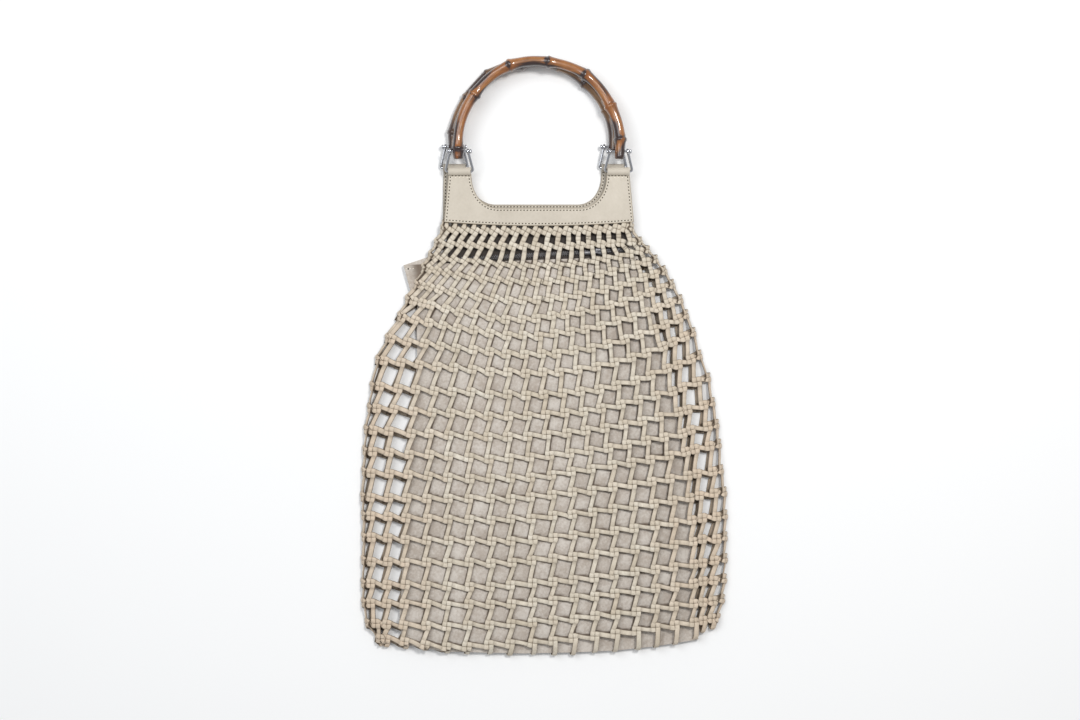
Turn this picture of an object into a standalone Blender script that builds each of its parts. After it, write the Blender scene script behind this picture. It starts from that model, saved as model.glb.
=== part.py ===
"""Mesh handbag of knotted leather strip on bamboo handles, lying flat on its back, front side up.

X runs across the bag, Y from its base to its handles, Z up from the surface it lies on.
The origin is the bottom centre of the whole bag. Sizes below are in millimetres; MM turns them into metres.
"""

import math

import bmesh
import bpy
from mathutils import Matrix, Vector

MM = 0.001
GAP = 0.3  # clearance between neighbouring pieces

# ---- yokes: the two stiff leather panels that carry the handles
YOKE_X = -4.0  # middle of the front yoke
YOKE_TOP = 180.0  # where the arms end under their loops
YOKE_HALF_TOP = 90.5
YOKE_HALF_BASE = 95.0
YOKE_BASE_SIDE = 133.8
YOKE_BASE_SAG = 3.8  # how much lower the base edge is in the middle
YOKE_THICK = 3.4
CUT_HALF = 67.5  # hand cut-out between the arms
CUT_FLOOR = 148.0
CUT_CORNER = (20.0, 28.0)
FRONT_YOKE_Z = 8.6  # underside of the front yoke
BACK_TOP_SHIFT = -5.5  # the back yoke lies a little askew under the front one
BACK_BASE_SHIFT = -1.5
BACK_RISE = 4.0

# ---- loops, shackles, pins
LOOP_WIDTH = 22.4
LOOP_OUTER = 4.2
LOOP_BORE = 1.8
LOOP_Y = 184.5
LOOP_ARM = 79.5  # from the middle of the yoke to each loop
BACK_LOOP_Z = LOOP_OUTER
FRONT_LOOP_Z = 3 * LOOP_OUTER + GAP
WIRE = 1.5  # radius of the shackle rod
SHACKLE_LENGTH = 21.2
SHACKLE_TOP_HALF = 8.9
SHACKLE_BASE_HALF = LOOP_WIDTH / 2 + GAP + WIRE + 0.9
EYE_RADIUS = 2.9
EYE_BORE = 1.5
PIN_RADIUS = 1.2
PIN_HEAD = 2.3

# ---- bamboo handles
ARCH_RADIUS = 80.0
CANE = 5.9  # radius of the cane between its joints
KNUCKLE = 6.6  # radius of the cane at a joint
FRONT_BELOW_PIN = 7.6  # how far a leg runs on below its pin
BACK_BELOW_PIN = 5.0
CANE_SIDES = 12
FRONT_ARCH_Y = 214.0
BACK_ARCH_Y = 214.0
FRONT_KNUCKLES = (185, 144, 111, 83, 55, 26, 1)  # degrees round the arch, then on down the legs
BACK_KNUCKLES = (173, 146, 124, 99, 72, 49, 24)
BACK_HANDLE_Z = KNUCKLE + 0.2
FRONT_PIN_Z = BACK_HANDLE_Z + 15.2
FRONT_TOP_Z = BACK_HANDLE_Z + 13.8

# ---- net
NET_THICK = 2.6
STRAP = 5.0  # width that a strap of the net takes
FOLD_SHOULDER = 3.0
FLOOR_LAYER = NET_THICK / 2  # mid height of the layer that lies on the surface
YOKE_LAYER = FRONT_YOKE_Z + YOKE_THICK / 2
BACK_SHIFT_X = 3.0  # the back layer's straps lie a little off the front ones
BACK_SHIFT_Y = 2.0
CENTRE_X = 0.0  # rows are lowest near the middle of the bag
LEFT_SAG_POWER = 1.7
RIGHT_SAG_POWER = 1.4

# Knot rows from the yoke down: where each meets the side folds, and its height in the middle.
ROW_COLUMNS = ("left_x", "left_y", "mid_y", "right_y", "right_x")
ROWS = (
    (-98, 127, 124.4, 128, 88),
    (-103, 120, 116, 122, 92),
    (-107, 113, 109, 116, 97),
    (-113, 102, 91.4, 107, 105),
    (-119, 88, 73.5, 97, 112),
    (-127, 72, 56.5, 85, 120),
    (-135, 56, 38.7, 72, 128),
    (-143, 39, 21, 58, 137),
    (-156, 18, 3.6, 41, 143),
    (-163, -6, -15.8, 21, 150),
    (-168, -30, -38, -1, 157),
    (-172, -52, -59, -23, 165),
    (-174, -74, -80, -46, 170),
    (-176, -95, -101.6, -68, 173),
    (-178, -116, -121.6, -90, 175),
    (-180, -141, -140.7, -113, 178),
    (-179, -160, -161.3, -135, 181),
    (-178, -183, -183, -160, 182),
    (-177, -208, -205.4, -184, 182),
    (-177, -232, -230.5, -207, 182),
    (-176, -254, -247.8, -229, 181),
    (-173, -272, -266.8, -246, 179),
    (-165, -285, -286, -260, 175),
)
TOP_SECTIONS = (2, 3, 5, 6, 7)  # rows close together: the layer is taken as whole down to here
FIRST_OPEN_ROW = 8
LAST_ROW = len(ROWS) - 1

# Steps between the 21 knot columns of the lower rows, fold to fold; the top rows are evenly spaced.
BODY_STEPS = (9, 19, 17) + (20.4,) * 14 + (7, 17, 9)
BODY_WIDTH = sum(BODY_STEPS)
# Mid height of the front layer over the body at some of those columns.
CROWN_COLUMNS = ("column", "height")
CROWN = ((0, 5.4), (1, 8.2), (2, 8.6), (3, 10.6), (4, 11.0), (9, 11.2), (12, 12.6), (15, 14.0),
         (16, 13.6), (17, 12.4), (18, 8.6), (19, 8.2), (20, 5.4))
# Lines along the edges of the straps, as (column, side of the strap).
FRONT_LINES = ((1, 1), *[(c, side) for c in range(2, 19) for side in (-1, 1)], (19, -1))
# The back layer, which is hidden behind the pouch, keeps only the straps that show beside it.
BACK_LINES = ((1, 1), (2, -1), (2, 1), (3, -1), (3, 1), (6, 1), (9, 1), (12, 1), (15, 1),
              (17, 1), (18, -1), (18, 1), (19, -1))
# The gaps of each layer, each by the column on its left.
FRONT_GAPS = (*range(1, 17), 18)
BACK_GAPS = (1, 2, 18)
# The left fold is open between these rows, where the pouch's corner pokes out.
CORNER_ROWS = (3, 6)

# The base edge of the net, left to right.
BASE_COLUMNS = ("x", "y")
BASE_EDGE = ((-160, -291), (-99, -298), (-20, -300.3), (27, -299.5), (74, -297), (112, -292),
             (150, -286), (165, -274), (171, -266))

# ---- pouch of suede inside the net
PANEL_THICK = 1.4
POUCH_BACK_Z = NET_THICK + GAP  # underside of its back panel
POUCH_FRONT_Z = POUCH_BACK_Z + PANEL_THICK + GAP
POUCH_PUFF = 3.0
POUCH_MOUTH_LIFT = 1.2  # the front panel lies on the zip's tape along its top edge
# Outline of the pouch, top to bottom.
POUCH_COLUMNS = ("y", "left", "right")
POUCH = ((89, -140, 94), (68, -133, 102), (56, -125, 107), (26, -127, 112), (-4, -126, 117),
         (-44, -128, 127), (-94, -132, 137), (-144, -137, 145), (-204, -141, 149), (-254, -143, 152),
         (-281, -141, 156))
POUCH_TILT = 9.0  # the right end of its top edge is this much higher
POUCH_BASE_LIFT = 17.0
BACK_PANEL_TOP = 124.0
BACK_PANEL_HALF = 84.0
BACK_PANEL_NECK = (104.0, -101.0, 95.0)  # y, left and right just above the pouch's mouth

# ---- zip
TAPE_THICK = 0.8
TAPE_Z = POUCH_BACK_Z + PANEL_THICK + GAP
ZIP_LEFT = (-95.0, 96.0)
ZIP_RIGHT = (84.0, 106.5)
TEETH_WIDTH = 5.0
TEETH_THICK = 2.0
UPPER_TAPE_TOP = 125.0
LOWER_TAPE_WIDTH = 12.0
SLIDER_ALONG = 0.845  # how far along the zip the slider stands
SLIDER_SIZE = (10.0, 8.0, 1.5)

LEATHER = (0.60, 0.53, 0.42)
SUEDE = (0.56, 0.49, 0.43)
COTTON = (0.06, 0.055, 0.055)
STEEL = (0.75, 0.76, 0.78)
BAMBOO = (0.42, 0.17, 0.045)


def clear_scene():
    for obj in list(bpy.data.objects):
        bpy.data.objects.remove(obj)


def material(name, colour, roughness, metallic=0.0):
    made = bpy.data.materials.new(name)
    made.use_nodes = True
    shader = made.node_tree.nodes["Principled BSDF"]
    shader.inputs["Base Color"].default_value = (*colour, 1.0)
    shader.inputs["Roughness"].default_value = roughness
    shader.inputs["Metallic"].default_value = metallic
    return made


def add_object(name, points, faces, finish):
    """An object from points in millimetres, its faces turned outwards."""
    mesh = bpy.data.meshes.new(name)
    mesh.from_pydata([Vector(p) * MM for p in points], [], faces)
    work = bmesh.new()
    work.from_mesh(mesh)
    bmesh.ops.recalc_face_normals(work, faces=work.faces)
    work.to_mesh(mesh)
    work.free()
    obj = bpy.data.objects.new(name, mesh)
    bpy.context.scene.collection.objects.link(obj)
    if finish:
        mesh.materials.append(material(name, *finish))
    return obj


def shade_round(obj, angle=40):
    obj.data.shade_smooth()
    obj.data.set_sharp_from_angle(angle=math.radians(angle))


def cut_with(obj, cutter, operation="DIFFERENCE"):
    cutter.hide_render = True
    cutter.display_type = "WIRE"
    modifier = obj.modifiers.new(operation.title(), "BOOLEAN")
    modifier.operation = operation
    modifier.object = cutter
    modifier.solver = "EXACT"


def blend(low, high, share):
    return low + (high - low) * share


def smooth(share):
    share = min(max(share, 0.0), 1.0)
    return share * share * (3 - 2 * share)


def table_value(table, place):
    """Straight interpolation between the rows of a two-column table."""
    for (x0, y0), (x1, y1) in zip(table, table[1:]):
        if place <= x1:
            return blend(y0, y1, (place - x0) / (x1 - x0))
    return table[-1][1]


# ---------------------------------------------------------------- plain solids


def tube_along(name, path, radii, sides, finish):
    """A rod with flat ends along a path of points, with its radius at each."""
    points, faces = [], []
    for index, place in enumerate(path):
        ahead = path[min(index + 1, len(path) - 1)] - path[max(index - 1, 0)]
        turn = ahead.to_track_quat("Z", "X").to_matrix()
        for side in range(sides):
            angle = math.tau * side / sides
            spoke = turn @ Vector((math.cos(angle), math.sin(angle), 0))
            points.append(place + spoke * radii[index])
    for ring in range(len(path) - 1):
        for side in range(sides):
            here, after = ring * sides + side, ring * sides + (side + 1) % sides
            faces.append((here, after, after + sides, here + sides))
    faces.append(tuple(range(sides)))
    faces.append(tuple(range((len(path) - 1) * sides, len(path) * sides)))
    return add_object(name, points, faces, finish)


def rod_x(name, centre, half_length, radius, sides, finish=None):
    """A straight rod along X."""
    reach = Vector((half_length, 0, 0))
    return tube_along(name, [centre - reach, centre + reach], [radius, radius], sides, finish)


def slab(name, outline, low, high, finish):
    """An outline in X and Y, given thickness from low to high."""
    count = len(outline)
    points = [(x, y, low) for x, y in outline] + [(x, y, high) for x, y in outline]
    faces = [tuple(range(count)), tuple(range(count, 2 * count))]
    faces += [(i, (i + 1) % count, (i + 1) % count + count, i + count) for i in range(count)]
    return add_object(name, points, faces, finish)


def thick_sheet(name, points, faces, holes, thickness, finish):
    """A sheet given half its thickness to each side along its normals, with the listed faces left open."""
    work = bmesh.new()
    corners = [work.verts.new(p) for p in points]
    for face in faces:
        work.faces.new([corners[i] for i in face])
    bmesh.ops.recalc_face_normals(work, faces=work.faces)
    work.normal_update()
    work.verts.index_update()
    half = thickness / 2
    upper = [v.co + v.normal * half for v in corners]
    lower = [v.co - v.normal * half for v in corners]
    turned = [tuple(v.index for v in face.verts) for face in work.faces]
    work.free()
    kept = [face for face in turned if frozenset(face) not in holes]
    count = len(points)
    solid = list(kept) + [tuple(i + count for i in reversed(face)) for face in kept]
    sides = {(a, b) for face in kept for a, b in zip(face, face[1:] + face[:1])}
    solid += [(b, a, a + count, b + count) for a, b in sorted(sides) if (b, a) not in sides]
    used = sorted({i for face in solid for i in face})
    place = {old: new for new, old in enumerate(used)}
    everything = upper + lower
    return add_object(
        name, [everything[i] for i in used], [tuple(place[i] for i in f) for f in solid], finish
    )


# ---------------------------------------------------------------- yokes


def base_edge_of_yoke(x):
    """Height of a yoke's base edge, x measured from the yoke's middle."""
    return YOKE_BASE_SIDE - YOKE_BASE_SAG * (1 - (x / YOKE_HALF_BASE) ** 2)


def yoke_outline():
    """The U-shaped panel, from its middle, with the hand cut-out's round corners."""
    wide, tall = CUT_CORNER
    outline = []
    for step in range(-8, 9):
        x = YOKE_HALF_BASE * step / 8
        outline.append((x, base_edge_of_yoke(x)))
    outline.append((YOKE_HALF_TOP, YOKE_TOP + 2))
    outline.append((YOKE_HALF_TOP - 0.4, LOOP_Y))
    outline.append((CUT_HALF + 0.4, LOOP_Y))
    for step in range(9):
        angle = math.pi / 2 * step / 8
        outline.append(
            (CUT_HALF - wide + wide * math.cos(angle), CUT_FLOOR + tall - tall * math.sin(angle))
        )
    mirrored = [(-x, y) for x, y in reversed(outline[17:])]
    return outline + mirrored


def yoke(name, low, loop_z, top_shift, base_shift, rise):
    """A yoke with a leather loop at the end of each arm, bored for its shackle."""
    outline = []
    for x, y in yoke_outline():
        share = (y - YOKE_BASE_SIDE) / (LOOP_Y - YOKE_BASE_SIDE)
        outline.append((YOKE_X + x + blend(base_shift, top_shift, share), y + rise))
    panel = slab(name, outline, low, low + YOKE_THICK, (LEATHER, 0.6))
    for side in (-1, 1):
        centre = Vector((YOKE_X + top_shift + side * LOOP_ARM, LOOP_Y + rise, loop_z))
        tag = f"{name}_{'left' if side < 0 else 'right'}"
        cut_with(panel, rod_x(tag + "_loop", centre, LOOP_WIDTH / 2, LOOP_OUTER, 20), "UNION")
        cut_with(panel, rod_x(tag + "_bore", centre, LOOP_WIDTH, LOOP_BORE, 12))
    shade_round(panel)
    return panel


# ---------------------------------------------------------------- handles and their fittings


def shackle(name, base, swing, finish):
    """A trapezoid of rod: its bar turns in the leather loop, its two eyes hold the pin."""
    lean = Matrix.Rotation(swing, 3, "X")
    corner = 2.6
    path = []
    for side in (-1, 1):
        foot = Vector((side * SHACKLE_BASE_HALF, 0, 0))
        eye = Vector((side * SHACKLE_TOP_HALF, SHACKLE_LENGTH, 0))
        along = (eye - foot).normalized()
        run = [eye, foot + along * corner * 2, foot + along * corner]
        run += [foot + along * corner * 0.35 - Vector((side * corner * 0.3, 0, 0))]
        run += [foot - Vector((side * corner, 0, 0))]
        path += run if side < 0 else run[::-1]
    path = [base + lean @ p for p in path]
    body = tube_along(name, path, [WIRE] * len(path), 10, finish)
    for side in (-1, 1):
        tag = f"{name}_{'left' if side < 0 else 'right'}"
        eye = base + lean @ Vector((side * SHACKLE_TOP_HALF, SHACKLE_LENGTH, 0))
        cut_with(body, rod_x(tag + "_eye", eye, WIRE, EYE_RADIUS, 16), "UNION")
    centre = base + lean @ Vector((0, SHACKLE_LENGTH, 0))
    cut_with(body, rod_x(name + "_bore", centre, 20, EYE_BORE, 12))
    shade_round(body)
    return body


def pin(name, centre, finish):
    """A pin across the cane's end, with a domed head outside each eye."""
    inner = SHACKLE_TOP_HALF + WIRE + 3 * GAP
    profile = ((0.0, PIN_RADIUS), (0.0, PIN_HEAD), (0.9, PIN_HEAD), (1.5, PIN_HEAD * 0.75), (1.8, 0.8))
    stations = [(-inner - x, r) for x, r in reversed(profile)] + [(inner + x, r) for x, r in profile]
    points, faces, sides = [], [], 12
    for x, radius in stations:
        for side in range(sides):
            angle = math.tau * side / sides
            points.append(centre + Vector((x, radius * math.cos(angle), radius * math.sin(angle))))
    for ring in range(len(stations) - 1):
        for side in range(sides):
            here, after = ring * sides + side, ring * sides + (side + 1) % sides
            faces.append((here, after, after + sides, here + sides))
    faces.append(tuple(range(sides)))
    faces.append(tuple(range((len(stations) - 1) * sides, len(stations) * sides)))
    obj = add_object(name, points, faces, finish)
    shade_round(obj)
    return obj


def cane_radius(degrees, knuckles):
    """The cane swells to a ring at each joint."""
    nearest = min(abs(degrees - k) for k in knuckles)
    return CANE + (KNUCKLE - CANE) * math.exp(-((nearest / 2.2) ** 2))


def handle(name, pin_centre, below_pin, arch_y, tilt, knuckles, finish):
    """A D-shaped cane: straight legs below a half circle, bored across for its pins."""
    lean = Matrix.Rotation(tilt, 3, "X")
    rise = arch_y - pin_centre.y
    leg = math.degrees((rise + below_pin) / ARCH_RADIUS)
    degrees = {-leg, 180 + leg, *range(0, 181, 6)}
    degrees |= {k + d for k in knuckles for d in (-2, 0, 2)}
    path, radii = [], []
    for angle in sorted(a for a in degrees if -leg <= a <= 180 + leg):
        turn = math.radians(min(max(angle, 0), 180))
        down = math.radians(abs(angle - math.degrees(turn))) * ARCH_RADIUS
        path.append(Vector((ARCH_RADIUS * math.cos(turn), rise + ARCH_RADIUS * math.sin(turn) - down, 0)))
        radii.append(cane_radius(angle, knuckles))
    path = [pin_centre + lean @ p for p in path]
    body = tube_along(name, path, radii, CANE_SIDES, finish)
    cut_with(body, rod_x(name + "_bore", pin_centre, 2 * ARCH_RADIUS, PIN_RADIUS + GAP, 12))
    shade_round(body)
    return body


def fittings(side, yoke_middle, loop_y, loop_z, pin_z, below_pin, arch_y, tilt, knuckles):
    """One handle with its two shackles and two pins."""
    swing = math.asin((pin_z - loop_z) / SHACKLE_LENGTH)
    pin_y = loop_y + SHACKLE_LENGTH * math.cos(swing)
    steel = (STEEL, 0.2, 1.0)
    for sign, word in ((-1, "left"), (1, "right")):
        x = yoke_middle + sign * LOOP_ARM
        shackle(f"shackle_{side}_{word}", Vector((x, loop_y, loop_z)), swing, steel)
        pin(f"pin_{side}_{word}", Vector((x, pin_y, pin_z)), steel)
    centre = Vector((yoke_middle, pin_y, pin_z))
    handle(f"handle_{side}", centre, below_pin, arch_y, tilt, knuckles, (BAMBOO, 0.3))


# ---------------------------------------------------------------- net


FRONT_POINTS = len(FRONT_LINES) + 2
BACK_POINTS = len(BACK_LINES) + 2


def row_named(index):
    return dict(zip(ROW_COLUMNS, ROWS[index]))


def row_y(row, x):
    """Height of a row at x: it sags to its middle and runs up to each side fold."""
    if x < CENTRE_X:
        share = (CENTRE_X - x) / (CENTRE_X - row["left_x"])
        return blend(row["mid_y"], row["left_y"], share**LEFT_SAG_POWER)
    share = (x - CENTRE_X) / (row["right_x"] - CENTRE_X)
    return blend(row["mid_y"], row["right_y"], share**RIGHT_SAG_POWER)


def column_x(row, index, column):
    """Where a knot column crosses a row: even spacing at the top, the body's own steps lower down."""
    width = row["right_x"] - row["left_x"]
    body = sum(BODY_STEPS[:column]) / BODY_WIDTH
    share = blend(column / len(BODY_STEPS), body, smooth((index - 2) / 7))
    return row["left_x"] + width * share


def crown_z(index, column):
    """Mid height of the front layer: level with the yoke at the top, over the pouch lower down."""
    return blend(YOKE_LAYER, table_value(CROWN, column), smooth((index - 1) / 7))


def section(index, drop):
    """Points round the net at a row, drop millimetres below its middle line, from the left fold and back to it."""
    row = row_named(index)
    fold_z = blend(5.8, 5.4, smooth(index / 8))
    left = (row["left_x"], row["left_y"] - drop, fold_z)
    right = (row["right_x"], row["right_y"] - drop, fold_z)
    shoulders = []
    for x in (row["left_x"] + FOLD_SHOULDER, row["right_x"] - FOLD_SHOULDER):
        shoulders.append((x, row_y(row, x) - drop))
    front = [(*shoulders[0], crown_z(index, 0.6))]
    for column, strap_side in FRONT_LINES:
        x = column_x(row, index, column) + strap_side * STRAP / 2
        front.append((x, row_y(row, x) - drop, crown_z(index, column)))
    front.append((*shoulders[1], crown_z(index, 19.4)))
    back = [(*shoulders[0], FLOOR_LAYER)]
    for column, strap_side in BACK_LINES:
        x = column_x(row, index, column) + strap_side * STRAP / 2
        back.append((x + BACK_SHIFT_X, row_y(row, x) + BACK_SHIFT_Y - drop, FLOOR_LAYER))
    back.append((*shoulders[1], FLOOR_LAYER))
    return [left] + front + [right] + back[::-1]


def gap_steps(lines, gaps):
    """Which steps along a layer's lines lie in a gap, counted from its left shoulder."""
    return {1 + lines.index((column, 1)) for column in gaps}


def seam_section():
    """The top edge, which meets the base edges of the two yokes."""
    ring = section(0, 0)
    half = FRONT_POINTS + 1
    fitted = []
    for number, (x, y, z) in enumerate(ring):
        if number in (0, half):
            fitted.append((x, base_edge_of_yoke(x - YOKE_X) - GAP - 1, z))
        elif number < half:
            fitted.append((x, base_edge_of_yoke(x - YOKE_X) - GAP, z))
        else:
            fitted.append((x, base_edge_of_yoke(x - YOKE_X - BACK_BASE_SHIFT) - GAP + BACK_RISE, z))
    return fitted


def net():
    """One flattened tube, open at the yokes and closed at its base, with its largest gaps."""
    rings = [seam_section()] + [section(index, 0) for index in TOP_SECTIONS]
    first_open = len(rings)
    for index in range(FIRST_OPEN_ROW, LAST_ROW):
        rings += [section(index, -STRAP / 2), section(index, STRAP / 2)]
    rings.append(section(LAST_ROW, 0))
    around = len(rings[0])
    half = FRONT_POINTS + 1
    points = [p for ring in rings for p in ring]
    corner_levels = range(1 + TOP_SECTIONS.index(CORNER_ROWS[0]), 1 + TOP_SECTIONS.index(CORNER_ROWS[1]))
    open_steps = {1 + step for step in gap_steps(FRONT_LINES, FRONT_GAPS)}
    open_steps |= {around - 2 - step for step in gap_steps(BACK_LINES, BACK_GAPS)}
    faces, holes = [], set()
    for level in range(len(rings) - 1):
        between_rows = level > first_open and (level - first_open) % 2 == 1
        for step in range(around):
            after = (step + 1) % around
            face = (level * around + step, level * around + after,
                    (level + 1) * around + after, (level + 1) * around + step)
            faces.append(face)
            if between_rows and level < len(rings) - 2 and step in open_steps:
                holes.add(frozenset(face))
            if step in (0, around - 1) and level in corner_levels:
                holes.add(frozenset(face))
    faces += base_fold(points, rings[-1], (len(rings) - 1) * around)
    obj = thick_sheet("net", points, faces, holes, NET_THICK, (LEATHER, 0.65))
    shade_round(obj, 30)
    return obj


def base_fold(points, bottom, last):
    """Adds the base edge under the last ring, and returns the faces that close both layers onto it."""
    around, half = len(bottom), FRONT_POINTS + 1
    base = len(points) - 1
    for step in range(1, half):
        x = bottom[step][0]
        points.append((x, table_value(BASE_EDGE, x), 5.4))
    faces = [(last, last + 1, base + 1), (last, last + around - 1, base + 1)]
    faces += [(last + half, last + half - 1, base + half - 1), (last + half, last + half + 1, base + half - 1)]
    for step in range(1, half - 1):
        faces.append((last + step, last + step + 1, base + step + 1, base + step))
    stops = [1] + [2 + FRONT_LINES.index(line) for line in BACK_LINES] + [half - 1]
    for number, (start, end) in enumerate(zip(stops, stops[1:])):
        under = last + around - 1 - number
        faces.append((under, under - 1, *[base + step for step in range(end, start - 1, -1)]))
    return faces


# ---------------------------------------------------------------- pouch and zip


def pouch_row(share):
    """The pouch's outline at a share of its height, as (y on the left, y on the right, left, right)."""
    place = share * (len(POUCH) - 1)
    index = min(int(place), len(POUCH) - 2)
    upper, lower = (dict(zip(POUCH_COLUMNS, POUCH[i])) for i in (index, index + 1))
    part = place - index
    y, left, right = (blend(upper[key], lower[key], part) for key in POUCH_COLUMNS)
    left_y = y
    right_y = y + blend(POUCH_TILT, POUCH_BASE_LIFT, share)
    return left_y, right_y, left, right


def pouch_panel(name, z, puff, mouth_lift, finish):
    """One suede panel, raised towards its middle by the puff."""
    down, across = len(POUCH) - 1, 8
    points, faces = [], []
    for row in range(down + 1):
        left_y, right_y, left, right = pouch_row(row / down)
        for column in range(across + 1):
            share = column / across
            rise = (1 - (2 * share - 1) ** 4) * (1 - (2 * row / down - 1) ** 4) * puff
            lift = mouth_lift * (1 - smooth(row / down * 8))
            points.append((blend(left, right, share), blend(left_y, right_y, share),
                           z + PANEL_THICK / 2 + rise + lift))
    for row in range(down):
        for column in range(across):
            corner = row * (across + 1) + column
            faces.append((corner, corner + 1, corner + across + 2, corner + across + 1))
    return points, faces, across, finish, name


def pouch_front():
    points, faces, _, finish, name = pouch_panel(
        "pouch_front", POUCH_FRONT_Z, POUCH_PUFF, POUCH_MOUTH_LIFT, (SUEDE, 0.9))
    obj = thick_sheet(name, points, faces, set(), PANEL_THICK, finish)
    shade_round(obj, 60)
    return obj


def pouch_back():
    """The back panel reaches up behind the zip, to the yokes."""
    points, faces, across, finish, name = pouch_panel("pouch_back", POUCH_BACK_Z, 0.0, 0.0, (SUEDE, 0.9))
    neck_y, neck_left, neck_right = BACK_PANEL_NECK
    tops = ((neck_y, neck_left, neck_right),
            (BACK_PANEL_TOP, YOKE_X - BACK_PANEL_HALF, YOKE_X + BACK_PANEL_HALF))
    below = 0
    for y, left, right in tops:
        start = len(points)
        points += [(blend(left, right, c / across), y, points[0][2]) for c in range(across + 1)]
        for column in range(across):
            faces.append((start + column, start + column + 1, below + column + 1, below + column))
        below = start
    obj = thick_sheet(name, points, faces, set(), PANEL_THICK, finish)
    shade_round(obj, 60)
    return obj


def along_zip(share, offset):
    """A point beside the line of teeth, offset across it."""
    start, end = Vector(ZIP_LEFT), Vector(ZIP_RIGHT)
    across = (end - start).normalized()
    normal = Vector((-across.y, across.x))
    return start.lerp(end, share) + normal * offset


def zip_pieces():
    cotton, steel = (COTTON, 0.9), (STEEL, 0.3, 1.0)
    edge = TEETH_WIDTH / 2 + GAP
    upper = [along_zip(0, edge), along_zip(1, edge)]
    upper = [tuple(p) for p in upper] + [(ZIP_RIGHT[0] + 2, UPPER_TAPE_TOP), (ZIP_LEFT[0] - 1, UPPER_TAPE_TOP)]
    slab("zip_tape_upper", upper, TAPE_Z, TAPE_Z + TAPE_THICK, cotton)
    low = edge + LOWER_TAPE_WIDTH
    lower = [along_zip(0, -low), along_zip(1, -low), along_zip(1, -edge), along_zip(0, -edge)]
    slab("zip_tape_lower", [tuple(p) for p in lower], TAPE_Z, TAPE_Z + TAPE_THICK, cotton)
    half = TEETH_WIDTH / 2
    teeth = [along_zip(0, -half), along_zip(1, -half), along_zip(1, half), along_zip(0, half)]
    slab("zip_teeth", [tuple(p) for p in teeth], TAPE_Z, TAPE_Z + TEETH_THICK, steel)
    long, wide, tall = SLIDER_SIZE
    span = (Vector(ZIP_RIGHT) - Vector(ZIP_LEFT)).length
    ends = [SLIDER_ALONG - long / 2 / span, SLIDER_ALONG + long / 2 / span]
    plate = [along_zip(ends[0], -wide / 3), along_zip(ends[1], -wide / 2),
             along_zip(ends[1], wide / 2), along_zip(ends[0], wide / 3)]
    low = TAPE_Z + TEETH_THICK + GAP
    slab("zip_slider", [tuple(p) for p in plate], low, low + tall, steel)


def main():
    clear_scene()
    yoke("yoke_back", 0.0, BACK_LOOP_Z, BACK_TOP_SHIFT, BACK_BASE_SHIFT, BACK_RISE)
    yoke("yoke_front", FRONT_YOKE_Z, FRONT_LOOP_Z, 0.0, 0.0, 0.0)
    fittings("back", YOKE_X + BACK_TOP_SHIFT, LOOP_Y + BACK_RISE, BACK_LOOP_Z, BACK_HANDLE_Z,
             BACK_BELOW_PIN, BACK_ARCH_Y, 0.0, BACK_KNUCKLES)
    reach = FRONT_ARCH_Y + ARCH_RADIUS - LOOP_Y - SHACKLE_LENGTH
    fittings("front", YOKE_X, LOOP_Y, FRONT_LOOP_Z, FRONT_PIN_Z, FRONT_BELOW_PIN, FRONT_ARCH_Y,
             math.atan2(FRONT_TOP_Z - FRONT_PIN_Z, reach), FRONT_KNUCKLES)
    net()
    pouch_back()
    pouch_front()
    zip_pieces()


main()
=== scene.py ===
"""Mesh handbag of knotted leather strip with bamboo handles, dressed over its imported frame.

The bag lies on its back on a pale floor. X runs across it, Y from its base to its handles, Z up.
Lengths are in millimetres until they go into a mesh; MM turns them into metres.
"""

import math

import bpy
import numpy as np
from mathutils import Matrix, Vector
from mathutils.geometry import tessellate_polygon


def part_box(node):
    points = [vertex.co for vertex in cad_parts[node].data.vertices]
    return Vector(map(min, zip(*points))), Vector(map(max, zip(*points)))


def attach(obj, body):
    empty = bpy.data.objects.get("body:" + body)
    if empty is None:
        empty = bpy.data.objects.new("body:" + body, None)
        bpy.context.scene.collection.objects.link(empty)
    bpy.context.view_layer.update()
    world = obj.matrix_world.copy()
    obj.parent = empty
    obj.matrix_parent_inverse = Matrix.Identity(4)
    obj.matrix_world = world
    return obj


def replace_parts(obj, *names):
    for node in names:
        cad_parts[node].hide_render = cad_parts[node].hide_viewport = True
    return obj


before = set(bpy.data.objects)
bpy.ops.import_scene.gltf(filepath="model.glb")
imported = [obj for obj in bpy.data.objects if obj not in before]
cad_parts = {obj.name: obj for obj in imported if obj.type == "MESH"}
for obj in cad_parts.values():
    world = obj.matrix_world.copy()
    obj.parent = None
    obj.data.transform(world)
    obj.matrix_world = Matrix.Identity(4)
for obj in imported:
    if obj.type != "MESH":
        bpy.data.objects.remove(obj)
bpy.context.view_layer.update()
MM = 0.001
DRAW = np.random.default_rng(41)  # every random draw comes from here, in one fixed order


def middle(node):
    """Middle of a node of the frame, in millimetres."""
    low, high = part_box(node)
    return np.array((low + high) / 2) / MM


# ---------------------------------------------------------------- sizes

STRIP_WIDE = 4.45
STRIP_THICK = 1.3
PAD_WIDE = 4.7  # a strip spreads where it is knotted
COLUMNS = 20  # knot columns from the left fold, 0, to the right fold, 20
AROUND = 2 * COLUMNS
YOKE_LEVEL = 10.3  # mid height of the net where it hangs from the front yoke
BACK_LEVEL = 1.55  # mid height of the layer on the floor
BACK_SHIFT = (-2.4, -2.2)  # of the back layer from the front one
BACK_PRESS = 0.55  # knots under the bag are pressed flat
BACK_THIN = 0.85  # and their strips thinner

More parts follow.
